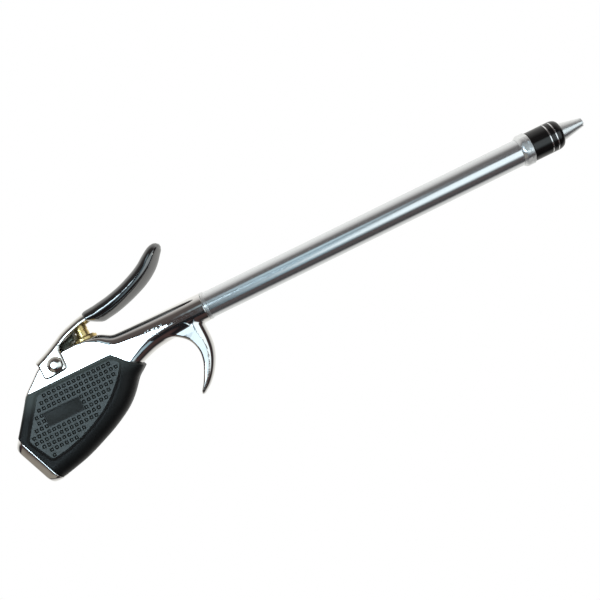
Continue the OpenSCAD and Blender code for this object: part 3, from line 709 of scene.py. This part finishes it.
def footField(x, y, z):
    # its sides lean in more and more towards the mouth
    out, along = inletPlaces(x, z)
    half, wide = casting["foot"]
    corner, depth = casting["footCorner"], casting["footDepth"]
    along = along - casting["footShift"]
    lean = casting["footTaper"] * np.clip(1 + out / depth, 0, 1.2)**1.5
    a, b = np.abs(along) - half + lean + corner, np.abs(y) - wide + lean + corner
    plate = np.hypot(np.maximum(a, 0), np.maximum(b, 0)) + np.minimum(np.maximum(a, b), 0) - corner
    body = shared(plate, out, casting["footRound"])
    return shared(body, -depth - out, 0.4)


def castingSolid(x, y, z):
    side = outlineDistance(x, z, castingOutline)
    wide, above, below = [np.interp(x, castingEdges[:, 0], castingEdges[:, i]) for i in (1, 2, 3)]
    middle = np.interp(-x, -castingTop[:, 0], castingTop[:, 1]) - casting["socket"]
    radius = np.where(z > middle, above, below)
    body = shared(side, np.abs(y) - wide, radius)
    lug = outlineDistance(x, z, np.array(casting["lug"]))
    over = np.maximum(z - casting["lugLeanFrom"], 0)
    lug = shared(lug, np.abs(y) - casting["lugHalf"] + casting["lugLean"] * over, 1.5)
    body = joined(body, lug, 1.0)
    body = joined(body, hookField(x, y, z), 1.4)
    distance, place = alongLine(x, z, coreLine[:, :2])
    core = np.hypot(distance, y) - np.interp(place, np.arange(len(coreLine)), coreLine[:, 2])
    # a wall round the valve's bore, hidden in the grip
    wall = np.hypot(x - valveX, y) - casting["valveWall"]
    wall = np.maximum(wall, np.maximum(z, -z - casting["valveDepth"] - 2))
    return np.minimum(body, np.minimum(core, wall))


def castingField(x, y, z):
    body = np.minimum(castingSolid(x, y, z), footField(x, y, z))
    body = shared(body, x, 0.35)
    out, along = inletPlaces(x, z)
    bores = [
        np.maximum(np.hypot(y, z) - casting["barrelBore"], -x - casting["barrelBoreDepth"]),
        np.maximum(np.hypot(along, y) - casting["bushBore"], -out - casting["bushDepth"]),
        np.maximum(np.hypot(x - valveX, y) - casting["valveBore"], -z - casting["valveDepth"]),
        np.hypot(x - pivot[0], z - pivot[2]) - casting["rivetHole"],
    ]
    for bore in bores:
        body = shared(body, -bore, 0.3)
    return body


def makeCasting():
    mesh = solidFromField(castingField, (-169.5, -12.6, -70), (1, 12.6, 22), casting["voxel"])
    addPiece("handleCasting", mesh, "chrome_casting", ["handle_casting"], sharp=0)


makeCasting()


# Rubber grip: a rim round a sunken panel on each side, and a roll for the fingers in front

grip = {
    "voxel": 0.62,
    "top": [(-45, 4.6), (-72, 6), (-127.6, 5.8), (-134.7, -0.5), (-143.2, -12), (-152.4, -24.3),
            (-160.9, -35), (-172, -49)],
    "bottom": [(-44, -8), (-52, -15.7), (-57.6, -20.3), (-62.4, -24), (-69.2, -32.1),
               (-76.2, -38.5), (-83.3, -43.1), (-93.5, -48.4), (-103.8, -52.7), (-114.2, -56.7),
               (-122.7, -59.3), (-134.7, -62.1), (-143.2, -63.7), (-152.4, -65.7), (-170, -69)],
    "mouth": [(-175, -1.2), (-72.3, -1.2), (-64.7, -9.3), (-58.6, -14.1), (-53.3, -18.9),
              (-46, -26)],
    "panel": [(-128, -4.7), (-72.1, -4.7), (-67.6, -8.8), (-71.2, -14.7), (-77.3, -21.6),
              (-84.8, -28.4), (-92.4, -33.8), (-103, -39.2), (-113.6, -43.4), (-125.7, -46.6),
              (-137.1, -48.3), (-146.7, -30.9)],
    # along the grip, half width and roll radius
    "sizes": [(-175, 12.5, 9.6), (-134, 12.5, 10), (-93, 12.5, 10.8), (-69, 12.5, 10.6),
              (-62, 12, 9), (-57, 11.5, 7.4), (-52, 10.75, 5.4)],
    "half": 12.5, "panelDrop": 0.8, "seatDrop": 1.3, "panelCorner": 2.2, "grooveDepth": 0.7,
    "grooveWidth": 0.9, "topRound": 3.0, "mouthRound": 1.1, "overlap": 0.35,
}
gripTop, gripBottom = smoothLine(grip["top"], 3), smoothLine(grip["bottom"], 3)
mouthLine = np.array(grip["mouth"], float)
panelOutline = roundedOutline(grip["panel"], grip["panelCorner"], 4)
gripSizes = np.array(grip["sizes"])


def gripField(x, y, z):
    wide, roll = [np.interp(x, gripSizes[:, 0], gripSizes[:, i]) for i in (1, 2)]
    panel = outlineDistance(x, z, panelOutline)
    sunk = np.clip(0.5 - panel / 0.5, 0, 1)
    groove = np.exp(-((panel - 0.4) / grip["grooveWidth"])**2) * grip["grooveDepth"]
    sunk = grip["panelDrop"] * sunk + grip["seatDrop"] * np.clip(-1 - panel / 0.5, 0, 1)
    face = np.abs(y) - wide + np.maximum(sunk, groove)
    top, _ = alongLine(x, z, gripTop[::-1])  # the lines run so that outside is on their left
    bottom, _ = alongLine(x, z, gripBottom)
    edge, _ = alongLine(x, z, mouthLine)
    body = np.maximum(shared(top, face, grip["topRound"]), shared(bottom, face, roll))
    body = shared(body, edge, grip["mouthRound"])
    out, _ = inletPlaces(x, z)
    body = shared(body, out + casting["footDepth"], 0.5)
    return np.maximum(body, -castingSolid(x, y, z) - grip["overlap"])


def makeGrip():
    mesh = solidFromField(gripField, (-170.5, -13, -70.5), (-50, 13, 7), grip["voxel"])
    addPiece("rubberGrip", mesh, "grip_rubber", ["rubber_grip"], sharp=0)


makeGrip()


# Waffle of small square pits in each panel, with a bare plate in the middle

wafflePits = {
    "pitchAlong": 3.75, "pitchUp": 3.95, "pit": 2.7, "depth": 0.95, "nub": 1.35, "nubRise": 0.76,
    "thick": 1.7, "proud": 0.3, "margin": 0.3, "inset": 0.15,
    "plateMiddle": (-116.4, -22.4), "plateSize": (27, 10.4), "plateRise": 0.4,
}


class Tree(Nodes):
    # a Geometry Nodes tree with named inputs
    def __init__(self, name, inputs):
        super().__init__(bpy.data.node_groups.new(name, "GeometryNodeTree"))
        face, self.ids = self.tree.interface, {}
        face.new_socket("Geometry", in_out="INPUT", socket_type="NodeSocketGeometry")
        for key, kind in inputs.items():
            made = face.new_socket(key, in_out="INPUT", socket_type="NodeSocket" + kind)
            self.ids[key] = made.identifier
        face.new_socket("Geometry", in_out="OUTPUT", socket_type="NodeSocketGeometry")
        self.start = self.tree.nodes.new("NodeGroupInput")
        self.end = self.tree.nodes.new("NodeGroupOutput")

    def given(self, name):
        return Num(self, self.start.outputs[name])

    def geometry(self, kind, mode=None, output=0, **inputs):
        named = {key.replace("_", " "): value for key, value in inputs.items()}
        return self.node("GeometryNode" + kind, mode, named, output)

    def vector(self, operation, *values):
        return self.calc(operation, *values, kind="ShaderNodeVectorMath")

    def logic(self, operation, *values):
        return self.calc(operation, *values, kind="FunctionNodeBooleanMath")

    def compare(self, kind, operation, values):
        return self.node("FunctionNodeCompare", {"data_type": kind, "operation": operation}, values)

    def finish(self, whole, material):
        real = self.geometry("RealizeInstances", Geometry=whole)
        done = self.geometry("SetMaterial", Geometry=real, Material=material)
        self.tree.links.new(done.socket, self.end.inputs[0])


def appliedMesh(name, start, tree, values):
    # the plain mesh that a tree makes of a start mesh
    carrier = linked(name, start)
    modifier = carrier.modifiers.new(name, "NODES")
    modifier.node_group = tree.tree
    for key, value in values.items():
        modifier[tree.ids[key]] = value
    bpy.context.view_layer.update()
    seen = carrier.evaluated_get(bpy.context.evaluated_depsgraph_get())
    mesh = bpy.data.meshes.new_from_object(seen)
    carrier.modifiers.clear()
    bpy.data.objects.remove(carrier)
    mesh.name = name
    return mesh


def pitMesh(d):
    # one pit, open at its rim, that hangs down from z = 0 with a raised square in its floor
    pit, nub, floor, rise = d["pit"], d["nub"], -d["depth"], d["nubRise"]
    # each ring's width and height and where its corners are cut
    rings = [(pit, 0, 0.72), (pit - 0.3, -0.16, 0.72), (pit - 0.5, floor + 0.1, 0.72),
             (nub + 0.25, floor, 0.7), (nub, floor + rise * 0.8, 0.7),
             (nub - 0.35, floor + rise, 0.7)]
    corners = ((1, -2), (1, 2), (2, 1), (-2, 1), (-1, 2), (-1, -2), (-2, -1), (2, -1))
    points = []
    for size, z, cut in rings:
        reach = {1: size / 2, 2: size / 2 * cut}
        points += [(math.copysign(reach[abs(a)], a) * mm, math.copysign(reach[abs(b)], b) * mm,
                    z * mm) for a, b in corners]
    mesh = bpy.data.meshes.new("pit")
    top = len(points) - 8
    mesh.from_pydata(points, [], ringFaces(len(rings), 8) + [tuple(range(top, top + 8))])
    return mesh


def waffleTree():
    t = Tree("wafflePanel", {
        "Pit": "Object", "Pitch along": "Float", "Pitch up": "Float", "Pit width": "Float",
        "Margin": "Float", "Thickness": "Float", "Plate middle": "Vector",
        "Plate size": "Vector", "Material": "Material"})
    edge, middle, thick = t.given("Geometry"), t.given("Plate middle"), t.given("Thickness")
    line = t.geometry("MeshToCurve", Mesh=edge)
    sheet = t.geometry("FillCurve", {"mode": "TRIANGLES"}, Curve=line)
    # a lattice of points over the panel
    columns, rows = 40, 26
    lattice = t.geometry("MeshGrid", Size_X=t.given("Pitch along") * float(columns),
                         Size_Y=t.given("Pitch up") * float(rows),
                         Vertices_X=columns + 1, Vertices_Y=rows + 1)
    lattice = t.geometry("Transform", Geometry=lattice, Translation=middle)
    spots = t.geometry("MeshToPoints", Mesh=lattice)
    # only the points whose whole pit lies on the sheet and beside the plate
    place = t.geometry("InputPosition")
    above = t.vector("ADD", place, (0, 0, 0.01))
    hits = t.geometry("Raycast", Target_Geometry=sheet, Source_Position=above,
                      Ray_Direction=(0, 0, -1), Ray_Length=1.0)
    far = t.node("GeometryNodeProximity", {"target_element": "EDGES"},
                 {0: edge, "Sample Position": place}, "Distance")
    least = t.given("Pit width") * 0.5 + t.given("Margin")
    clear = t.compare("FLOAT", "GREATER_THAN", {0: far, 1: least})
    room = t.vector("MULTIPLY", t.given("Plate size"), (0.5, 0.5, 0.5))
    beside = t.split(t.vector("SUBTRACT", t.vector("ABSOLUTE", t.vector("SUBTRACT", place, middle)),
                              room))
    offPlate = t.compare("FLOAT", "GREATER_THAN", {0: t.calc("MAXIMUM", *beside[:2]), 1: 0.0006})
    bad = t.logic("NOT", t.logic("AND", t.logic("AND", hits, clear), offPlate))
    spots = t.geometry("DeleteGeometry", {"domain": "POINT"}, Geometry=spots, Selection=bad)
    # the pits, and the rim of each as a hole in the sheet
    pit = t.geometry("ObjectInfo", {"transform_space": "ORIGINAL"}, "Geometry",
                     Object=t.given("Pit"))
    pits = t.geometry("InstanceOnPoints", Points=spots, Instance=pit)
    pits = t.geometry("RealizeInstances", Geometry=pits)
    border = t.compare("INT", "EQUAL", {2: t.geometry("InputMeshEdgeNeighbors"), 3: 1})
    rims = t.geometry("MeshToCurve", Mesh=pits, Selection=border)
    outlines = t.geometry("JoinGeometry", Geometry=[rims, line])
    top = t.geometry("FillCurve", {"mode": "TRIANGLES"}, Curve=outlines)
    # the back, and a wall up to the sheet's edge
    down = t.node("ShaderNodeCombineXYZ", None, {"Z": thick * -1.0})
    back = t.geometry("Transform", Geometry=sheet, Translation=down)
    wall = t.geometry("ExtrudeMesh", {"mode": "EDGES"}, Mesh=back, Selection=border,
                      Offset=(0, 0, 1), Offset_Scale=thick)
    whole = t.geometry("JoinGeometry", Geometry=[top, pits, wall])
    t.finish(t.geometry("MergeByDistance", Geometry=whole, Distance=0.00002), t.given("Material"))
    return t


def makeWaffles(d):
    middle = panelOutline.mean(0)
    inward = []
    for before, here, after in zip(np.roll(panelOutline, 1, 0), panelOutline,
                                   np.roll(panelOutline, -1, 0)):
        along = after - before
        normal = np.array([-along[1], along[0]]) / np.linalg.norm(along)
        inward.append(here + normal * math.copysign(d["inset"], normal @ (middle - here)))
    start = bpy.data.meshes.new("panelLine")
    count = len(inward)
    start.from_pydata([(p[0] * mm, p[1] * mm, 0) for p in inward],
                      [(i, (i + 1) % count) for i in range(count)], [])
    face = (grip["half"] - grip["panelDrop"] + d["proud"]) * mm
    waffle = waffleRubber(face)
    pit = linked("pit", pitMesh(d))
    flat = appliedMesh("wafflePanel", start, waffleTree(), {
        "Pit": pit, "Pitch along": d["pitchAlong"] * mm, "Pitch up": d["pitchUp"] * mm,
        "Pit width": d["pit"] * mm, "Margin": d["margin"] * mm, "Thickness": d["thick"] * mm,
        "Plate middle": [c * mm for c in d["plateMiddle"]] + [0],
        "Plate size": [c * mm for c in d["plateSize"]] + [0], "Material": waffle})
    bpy.data.objects.remove(pit)
    for name, side in (("wafflePanelRight", -1), ("wafflePanelLeft", 1)):
        mesh = flat.copy()
        mesh.transform(Matrix(((1, 0, 0, mouth.x), (0, 0, side, side * face), (0, 1, 0, mouth.z),
                               (0, 0, 0, 1))))
        mended(mesh, recalculated=True)
        addPiece(name, mesh, "grip_rubber", sharp=30, material=waffle)


makeWaffles(wafflePits)


def makePlates(d):
    # a bare raised plate in the middle of each panel
    (x, z), (long, high) = d["plateMiddle"], d["plateSize"]
    sunk = 0.2  # the plate starts that far under the lattice's face
    low = grip["half"] - grip["panelDrop"] + d["proud"] - sunk
    corners = ((-1, -1), (1, -1), (1, 1), (-1, 1))
    top = d["plateRise"] + sunk
    levels = [(0, 0), (0, top - 0.15), (0.15, top), (0.7, top), (0.95, top - 0.22)]
    for name, side in (("gripPlateRight", -1), ("gripPlateLeft", 1)):
        rings = []
        for inset, rise in levels:
            ring = roundedOutline([(x + a * (long / 2 - inset), z + b * (high / 2 - inset))
                                   for a, b in corners], 1.0)
            rings.append([(np.array((px, side * (low + rise), pz)) + mouthMm) * mm
                          for px, pz in ring])
        mesh = lofted(rings)
        addPiece(name, mesh, "grip_rubber", material=plateRubber)


makePlates(wafflePits)


# Thumb lever: one bent sheet with two ears, and the vinyl sleeve it is dipped in

lever = {
    "voxel": 0.42, "sheet": 1.5, "width": 22, "bend": 4.0, "bevel": (0.66, 1.2),
    "bevelEnd": 7.6, "rivetHole": 2.55,
    "top": [(-120.7, 15.7), (-116.1, 17.4), (-109.2, 20.3), (-102.4, 23.6), (-95.5, 27),
            (-88.6, 29.3), (-81.8, 31.1), (-74.4, 32.3), (-66.5, 33.1), (-56.6, 34.7),
            (-46.7, 37.3), (-36.8, 40.7), (-28.9, 44), (-22.5, 47.6), (-17, 50.7)],
    "flange": [5.1, 5.1, 5.1, 5.1, 5.1, 5.1, 5.1, 5.2, 5.5, 5.8, 5.8, 5.8, 5.4, 4.8, 3.8],
    # the ear's outline from the pivot, from its front edge round to the back of the sheet
    "ear": [(6.9, 8), (6.6, -3.7), (5.7, -5.8), (3.6, -6.4), (-7, -7.3), (-9.6, -6.8), (-11, -5.8),
            (-11.3, -4.4), (-11.3, 4.4), (-12.6, 6.9)],
}
leverTop = smoothLine(lever["top"], 5)
leverLow = smoothLine([
    (x + f * dz / math.hypot(dx, dz), z - f * dx / math.hypot(dx, dz))
    for (x, z), f, dx, dz in zip(lever["top"], lever["flange"],
                                 np.gradient([p[0] for p in lever["top"]]),
                                 np.gradient([p[1] for p in lever["top"]]))][3:], 5)
earLine = [(pivot[0] + x, pivot[2] + z) for x, z in lever["ear"]]
leverOutline = np.vstack([leverTop + [0, 6], [(-14, 54)], leverLow[::-1], earLine, [(-124, 16.2)]])


def leverField(x, y, z):
    top, _ = alongLine(x, z, leverTop)
    face = np.abs(y) - lever["width"] / 2
    outer = shared(top, face, lever["bend"])
    thick = lever["sheet"]
    inner = shared(top + thick, face + thick, lever["bend"] - thick)
    sheet = np.maximum(outer, -inner)
    outline = outlineDistance(x, z, leverOutline)
    sheet = shared(sheet, outline, 0.6)
    # the ears are bevelled round their rim
    tilt, wide = lever["bevel"]
    rim = (outline + wide) * math.sin(tilt) + face * math.cos(tilt)
    rim = rim - 3 * np.clip((x - pivot[0] - lever["bevelEnd"]) / 2, 0, 1)
    sheet = shared(sheet, rim, 0.2)
    hole = np.hypot(x - pivot[0], z - pivot[2]) - lever["rivetHole"]
    return shared(sheet, -hole, 0.2)


def makeLever():
    mesh = solidFromField(leverField, (-122.5, -11.5, 1), (-15.5, 11.5, 52.5), lever["voxel"])
    addPiece("thumbLever", mesh, "plated_steel", ["lever"], "thumb_lever", sharp=0)


makeLever()

sleeve = {
    # middle line with half height, half width and how full the lower half is
    "line": [(-76.2, 27.6, 5.2, 11.0, 0.4), (-75.4, 27.7, 5.9, 11.9, 0.45),
             (-71.5, 27.9, 6.1, 12, 0.85), (-68, 28.2, 6.1, 12, 1.15),
             (-64, 28.8, 6.1, 12.05, 1.2), (-56, 30.1, 6.1, 12.15, 1.2),
             (-45, 33, 6, 12.3, 1.2), (-33.7, 37.3, 6, 12.5, 1.2), (-26, 41.3, 5.9, 12.5, 1.15),
             (-20.6, 45.3, 5.7, 12.1, 1.1), (-15.6, 49.3, 5, 10.8, 1), (-12.3, 51.5, 3.8, 8.6, 1),
             (-10.4, 52.5, 2.1, 5.2, 1)],
    # half of its section, shares of the half width and half height from top to bottom
    "section": [(0, 1), (0.3, 0.985), (0.56, 0.93), (0.77, 0.8), (0.91, 0.6), (0.98, 0.35),
                (1, 0.1), (0.99, -0.12), (0.955, -0.29), (0.9, -0.41), (0.8, -0.52),
                (0.6, -0.68), (0.3, -0.86), (0, -0.96)],
    "steps": 9,
}


def makeSleeve(d):
    line = smoothLine(d["line"], d["steps"])
    step = np.gradient(line[:, :2], axis=0)
    step /= np.linalg.norm(step, axis=1)[:, None]
    half = smoothLine(d["section"], 3)
    section = np.vstack([half, (half * [-1, 1])[-2:0:-1]])
    points, count = [], len(section)
    for (x, z, high, wide, low), (dx, dz) in zip(line, step):
        for over, up in section:
            reach = high * up * (low if up < 0 else 1)
            points.append((x - dz * reach, over * wide, z + dx * reach))
    faces = ringFaces(len(line), count)
    # each end comes to a point in its middle
    for i, bulge in ((0, -0.2), (len(line) - 1, 0.9)):
        tip = len(points)
        points.append((line[i][0] + bulge * step[i][0], 0, line[i][1] + bulge * step[i][1]))
        for j in range(count):
            a, b = i * count + j, i * count + (j + 1) % count
            faces.append((tip, a, b) if i else (tip, b, a))
    mesh = outwardMesh((np.array(points) + mouthMm) * mm, faces)
    addPiece("vinylSleeve", mesh, "black_vinyl", ["lever_sleeve"], "thumb_lever", sharp=60)


makeSleeve(sleeve)

rivet = {
    "shank": 2.5, "head": 5.65, "rise": 2.8, "crown": 0.06, "face": 11.3,
    "slope": [(1, 0.05), (0.975, 0.22), (0.89, 0.45), (0.75, 0.66), (0.59, 0.84), (0.44, 0.97),
              (0.39, 1)],
}


def makeRivet(d):
    r, top = d["head"], d["rise"]
    half = [(0, 0), (r - 0.2, 0)] + list(smoothLine([(r * a, top * b) for a, b in d["slope"]], 3))
    flat = half[-1][0] - 0.05
    half += [(flat * q, top + d["crown"] * (1 - q * q)) for q in np.linspace(0.94, 0.01, 9)]
    upper = [(d["face"] + z, radius) for radius, z in half[1:]]
    profile = [(-z, radius) for z, radius in upper[::-1]] + [(-d["face"], d["shank"]),
                                                             (d["face"], d["shank"])] + upper
    closed = [(profile[0][0], 0.001)] + profile + [(profile[-1][0], 0.001)]
    mesh = turnedMesh(closed, acrossPivot, 72)
    addPiece("pivotRivet", mesh, "plated_steel", ["pivot_rivet"], sharp=45)


makeRivet(rivet)


# Brass valve in the boss, and its plunger under the lever

valve = {
    "flange": 8.45, "flangeLow": 15.2, "flangeTop": 18, "body": 7.2, "plungerBore": 4.55,
    "bottom": -10.5, "airBore": 3.2, "plunger": 4.5, "plungerTop": 28.3, "plungerLow": 7.6,
    "groove": 21.3, "rod": 1.5, "rodLow": -16.2,
}
uprightValve = Matrix.Translation(Vector((valveX + mouthMm[0], 0, mouthMm[2])))


def makeValve(d):
    r, top = d["flange"], d["flangeTop"]
    body = [(d["bottom"], d["airBore"]), (d["bottom"], d["body"]), (d["flangeLow"], d["body"]),
            (d["flangeLow"], r), (top - 0.9, r), (top - 0.9, r - 1.1), (top, r - 1.5),
            (top, d["plungerBore"] + 0.5), (top - 0.5, d["plungerBore"]),
            (d["bottom"] / 2, d["plungerBore"]), (d["bottom"] / 2, d["airBore"])]
    mesh = turnedMesh(eased(body, 0.25), uprightValve, 96)
    addPiece("valveBody", mesh, "brass", ["valve_body"])
    r, top, groove = d["plunger"], d["plungerTop"], d["groove"]
    dome = [(top - r / 2 + r / 2 * math.sin(t), r * math.cos(t)) for t in np.linspace(0, 1.5, 12)]
    stem = [(d["rodLow"], 0.001), (d["rodLow"], d["rod"]), (d["plungerLow"], d["rod"]),
            (d["plungerLow"], r - 0.3), (d["plungerLow"] + 0.3, r), (groove, r),
            (groove + 0.3, r - 0.35), (groove + 0.9, r - 0.35), (groove + 1.2, r)]
    stem += dome + [(top, 0.001)]
    mesh = turnedMesh(stem, uprightValve, 72)
    addPiece("valvePlunger", mesh, "brass", ["valve_plunger"], "plunger")


makeValve(valve)

spring = {"wire": 0.9, "turns": 6, "around": 24, "sides": 12, "travel": 4.6}


def makeSpring(d):
    # the coil under the poppet, made at its rest length
    low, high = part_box("valve_spring")
    w, height = d["wire"] / 2 * mm, high.z - low.z
    r, count, sides = (high.x - low.x) / 2 - w, d["turns"] * d["around"], d["sides"]
    middle, rings = (low.x + high.x) / 2, []
    for i in range(count + 1):
        turn, z = 2 * math.pi * i / d["around"], low.z + w + (height - 2 * w) * i / count
        section = [(r + w * math.cos(a), z + w * math.sin(a))
                   for a in [2 * math.pi * j / sides for j in range(sides)]]
        rings.append([(middle + q * math.cos(turn), q * math.sin(turn), up) for q, up in section])
    mesh = lofted(rings)
    piece = addPiece("valveSpring", mesh, "spring_steel", ["valve_spring"])
    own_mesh(piece)


makeSpring(spring)


# Barrel tube with its ferrule, collar and turning nozzle

barrel = {
    "radius": 9.5, "inner": 7.5, "seat": 8.5, "seatLength": 18, "length": 242,
    "ferrule": 10, "ferruleFrom": 0.3, "ferruleLength": 2,
}


def makeBarrel(d):
    tube = [(-d["seatLength"], d["inner"]), (-d["seatLength"], d["seat"]), (0, d["seat"]),
            (0, d["radius"]), (d["length"], d["radius"]), (d["length"], d["inner"])]
    mesh = turnedMesh(eased(tube, 0.25), alongBarrel, 128)
    addPiece("barrelTube", mesh, "satin_aluminium", ["barrel_tube"])
    start, end = d["ferruleFrom"], d["ferruleFrom"] + d["ferruleLength"]
    ring = [(start, d["radius"] + 0.02), (start, d["ferrule"]), (end, d["ferrule"]),
            (end, d["radius"] + 0.02)]
    mesh = turnedMesh(eased(ring, 0.15), alongBarrel, 128)
    addPiece("barrelFerrule", mesh, "satin_aluminium", ["barrel_ferrule"], material=turned)


makeBarrel(barrel)

nozzle = {
    "collarRadius": 11.3, "collarFlats": 10.75, "flatsTurn": 24.5, "collarLength": 7.7,
    "collarRoot": 9.75, "spigot": 7.5, "spigotLength": 16, "bore": 3.5, "spindle": 6,
    "spindleLength": 16, "sleeveRadius": 10.5, "sleeveLength": 23.2, "gap": 0.3,
    "rings": (0.58, 0.76), "ringWidth": 0.8, "ringDepth": 0.35,
    # the space for the circlip, from and to, back from the sleeve's end, and its radius
    "clipSpace": (8.4, 10, 7.3),
    "tipRoot": 6.5, "tipEnd": 3.0, "tipLength": 17.2, "tipSeat": 6.9, "boreRoot": 4.55,
    "outlet": 1.5, "outletLength": 5, "slot": 1.0, "tipVoxel": 0.2,
}


def makeCollar(d):
    x0 = barrel["length"]
    x1 = x0 + d["collarLength"]
    r, flats = d["collarRadius"], d["collarFlats"]
    root, end = x0 - d["spigotLength"], x1 + d["spindleLength"]
    profile = [(root, d["bore"]), (root, d["spigot"]), (x0, d["spigot"]), (x0, d["collarRoot"]),
               (x0 + 0.3, d["collarRoot"] + 0.25), (x0 + 1.95, r - 0.1), (x0 + 2.2, r),
               (x0 + 4.8, r), (x0 + 5.0, r - 0.35), (x0 + 5.4, r - 0.35), (x0 + 5.6, r),
               (x1 - 0.3, r), (x1, r - 0.3), (x1, d["spindle"]), (end, d["spindle"]),
               (end, d["bore"])]

    def flattened(along, radius, angle):
        # six softened flats, one of them turned a little up from the camera
        if radius <= flats - 0.3:
            return radius
        off = (angle + math.radians(30 - d["flatsTurn"])) % (math.pi / 3) - math.pi / 6
        flat, soft = flats / math.cos(off), 0.25
        h = min(max(0.5 + 0.5 * (flat - radius) / soft, 0), 1)
        return flat + (radius - flat) * h - soft * h * (1 - h)

    mesh = turnedMesh(profile, alongBarrel, 144, flattened)
    addPiece("nozzleCollar", mesh, "satin_aluminium", ["nozzle_collar"], material=turned)


def makeNozzle(d):
    x0 = barrel["length"] + d["collarLength"] + d["gap"]
    x1 = x0 + d["sleeveLength"]
    r, length = d["sleeveRadius"], d["sleeveLength"]
    outer = [(x0, r - 0.35), (x0 + 0.35, r)]
    for share in d["rings"]:
        x, w = x0 + share * length, d["ringWidth"] / 2
        outer += [(x - w - 0.1, r), (x - w, r - 0.12), (x - w + 0.08, r - d["ringDepth"]),
                  (x + w - 0.08, r - d["ringDepth"]), (x + w, r - 0.12), (x + w + 0.1, r)]
    outer += [(x0 + s * length, q * r) for q, s in ((1, 0.81), (0.992, 0.845), (0.975, 0.88),
                                                    (0.94, 0.925), (0.895, 0.96), (0.84, 0.985),
                                                    (0.785, 1))]
    near, far, space = d["clipSpace"]
    inside = [(x1, d["tipRoot"]), (x1 - near, d["tipRoot"]), (x1 - near, space), (x1 - far, space),
              (x1 - far, d["spindle"] + 0.05), (x0, d["spindle"] + 0.05)]
    rings = [((x0 + share * length) * mm + mouth.x, d["ringWidth"] * mm) for share in d["rings"]]
    mesh = turnedMesh(outer + inside, alongBarrel, 128)
    addPiece("nozzleSleeve", mesh, "black_anodised", ["nozzle_sleeve"], "nozzle",
             material=blackAnodised(rings))
    end, start = x1 + d["tipLength"], x1 - d["tipSeat"]

    def tipField(x, y, z):
        radius = np.hypot(y, z)
        # a short straight root, and the cone after it
        cone = np.interp(x, [x1 + 0.8, end], [d["tipRoot"], d["tipEnd"]])
        body = shared(shared(radius - cone, x - end, 0.35), start - x, 0.3)
        bore = np.interp(x, [start, end - d["outletLength"]], [d["boreRoot"], d["outlet"]])
        body = shared(body, bore - radius, 0.2)
        for turn in (45, -45):
            c, s = math.cos(math.radians(turn)), math.sin(math.radians(turn))
            off = np.abs(y * c + z * s) - d["slot"] / 2
            body = shared(body, -np.maximum(off, end - d["slot"] - x), 0.15)
        return body

    mesh = solidFromField(tipField, (start - 0.6, -7, -7), (end + 0.6, 7, 7), d["tipVoxel"])
    addPiece("nozzleTip", mesh, "satin_aluminium", ["nozzle_tip"], "nozzle", 0, turned)


makeCollar(nozzle)
makeNozzle(nozzle)


# Threaded bush in the foot

bush = {"radius": 7.7, "length": 14, "crest": 5.9, "root": 6.6, "pitch": 1.34, "around": 72}


def makeBush(d):
    toInlet = Matrix(((0, across[0], outward[0], 0), (1, 0, 0, 0), (0, across[1], outward[1], 0),
                      (0, 0, 0, 1)))
    steps = int(d["length"] / d["pitch"] * 10)
    profile = [(-d["length"] * i / steps, None) for i in range(steps + 1)]
    profile += [(-d["length"], d["radius"]), (-0.3, d["radius"]), (0, d["radius"] - 0.3)]

    def threaded(along, radius, angle):
        if radius is not None:
            return radius
        phase = (along / d["pitch"] + angle / (2 * math.pi)) % 1
        rise = min(max(abs(phase - 0.5) * 4 - 0.5, 0), 1)
        # the first turn is countersunk
        return max(d["root"] + (d["crest"] - d["root"]) * rise, d["root"] + 0.5 + along)

    mesh = turnedMesh(profile, toInlet, d["around"], threaded)
    addPiece("inletBush", mesh, "brass", ["inlet_bush"], sharp=40)


makeBush(bush)


# The small parts inside keep their own solids

kept = {
    "fibre": ["inlet_seal"], "brass": ["poppet"], "plated_steel": ["poppet_nut"],
    "spring_steel": ["nozzle_circlip"],
    "seal_rubber": ["valve_body_oring_upper", "valve_body_oring_lower", "plunger_oring",
                    "poppet_seal", "barrel_oring", "collar_oring", "spindle_oring"],
}
for slot, names in kept.items():
    for name in names:
        frame["nodes"][name].data.materials.clear()
        frame["nodes"][name].data.materials.append(finish[slot])
print("kept parts finished")
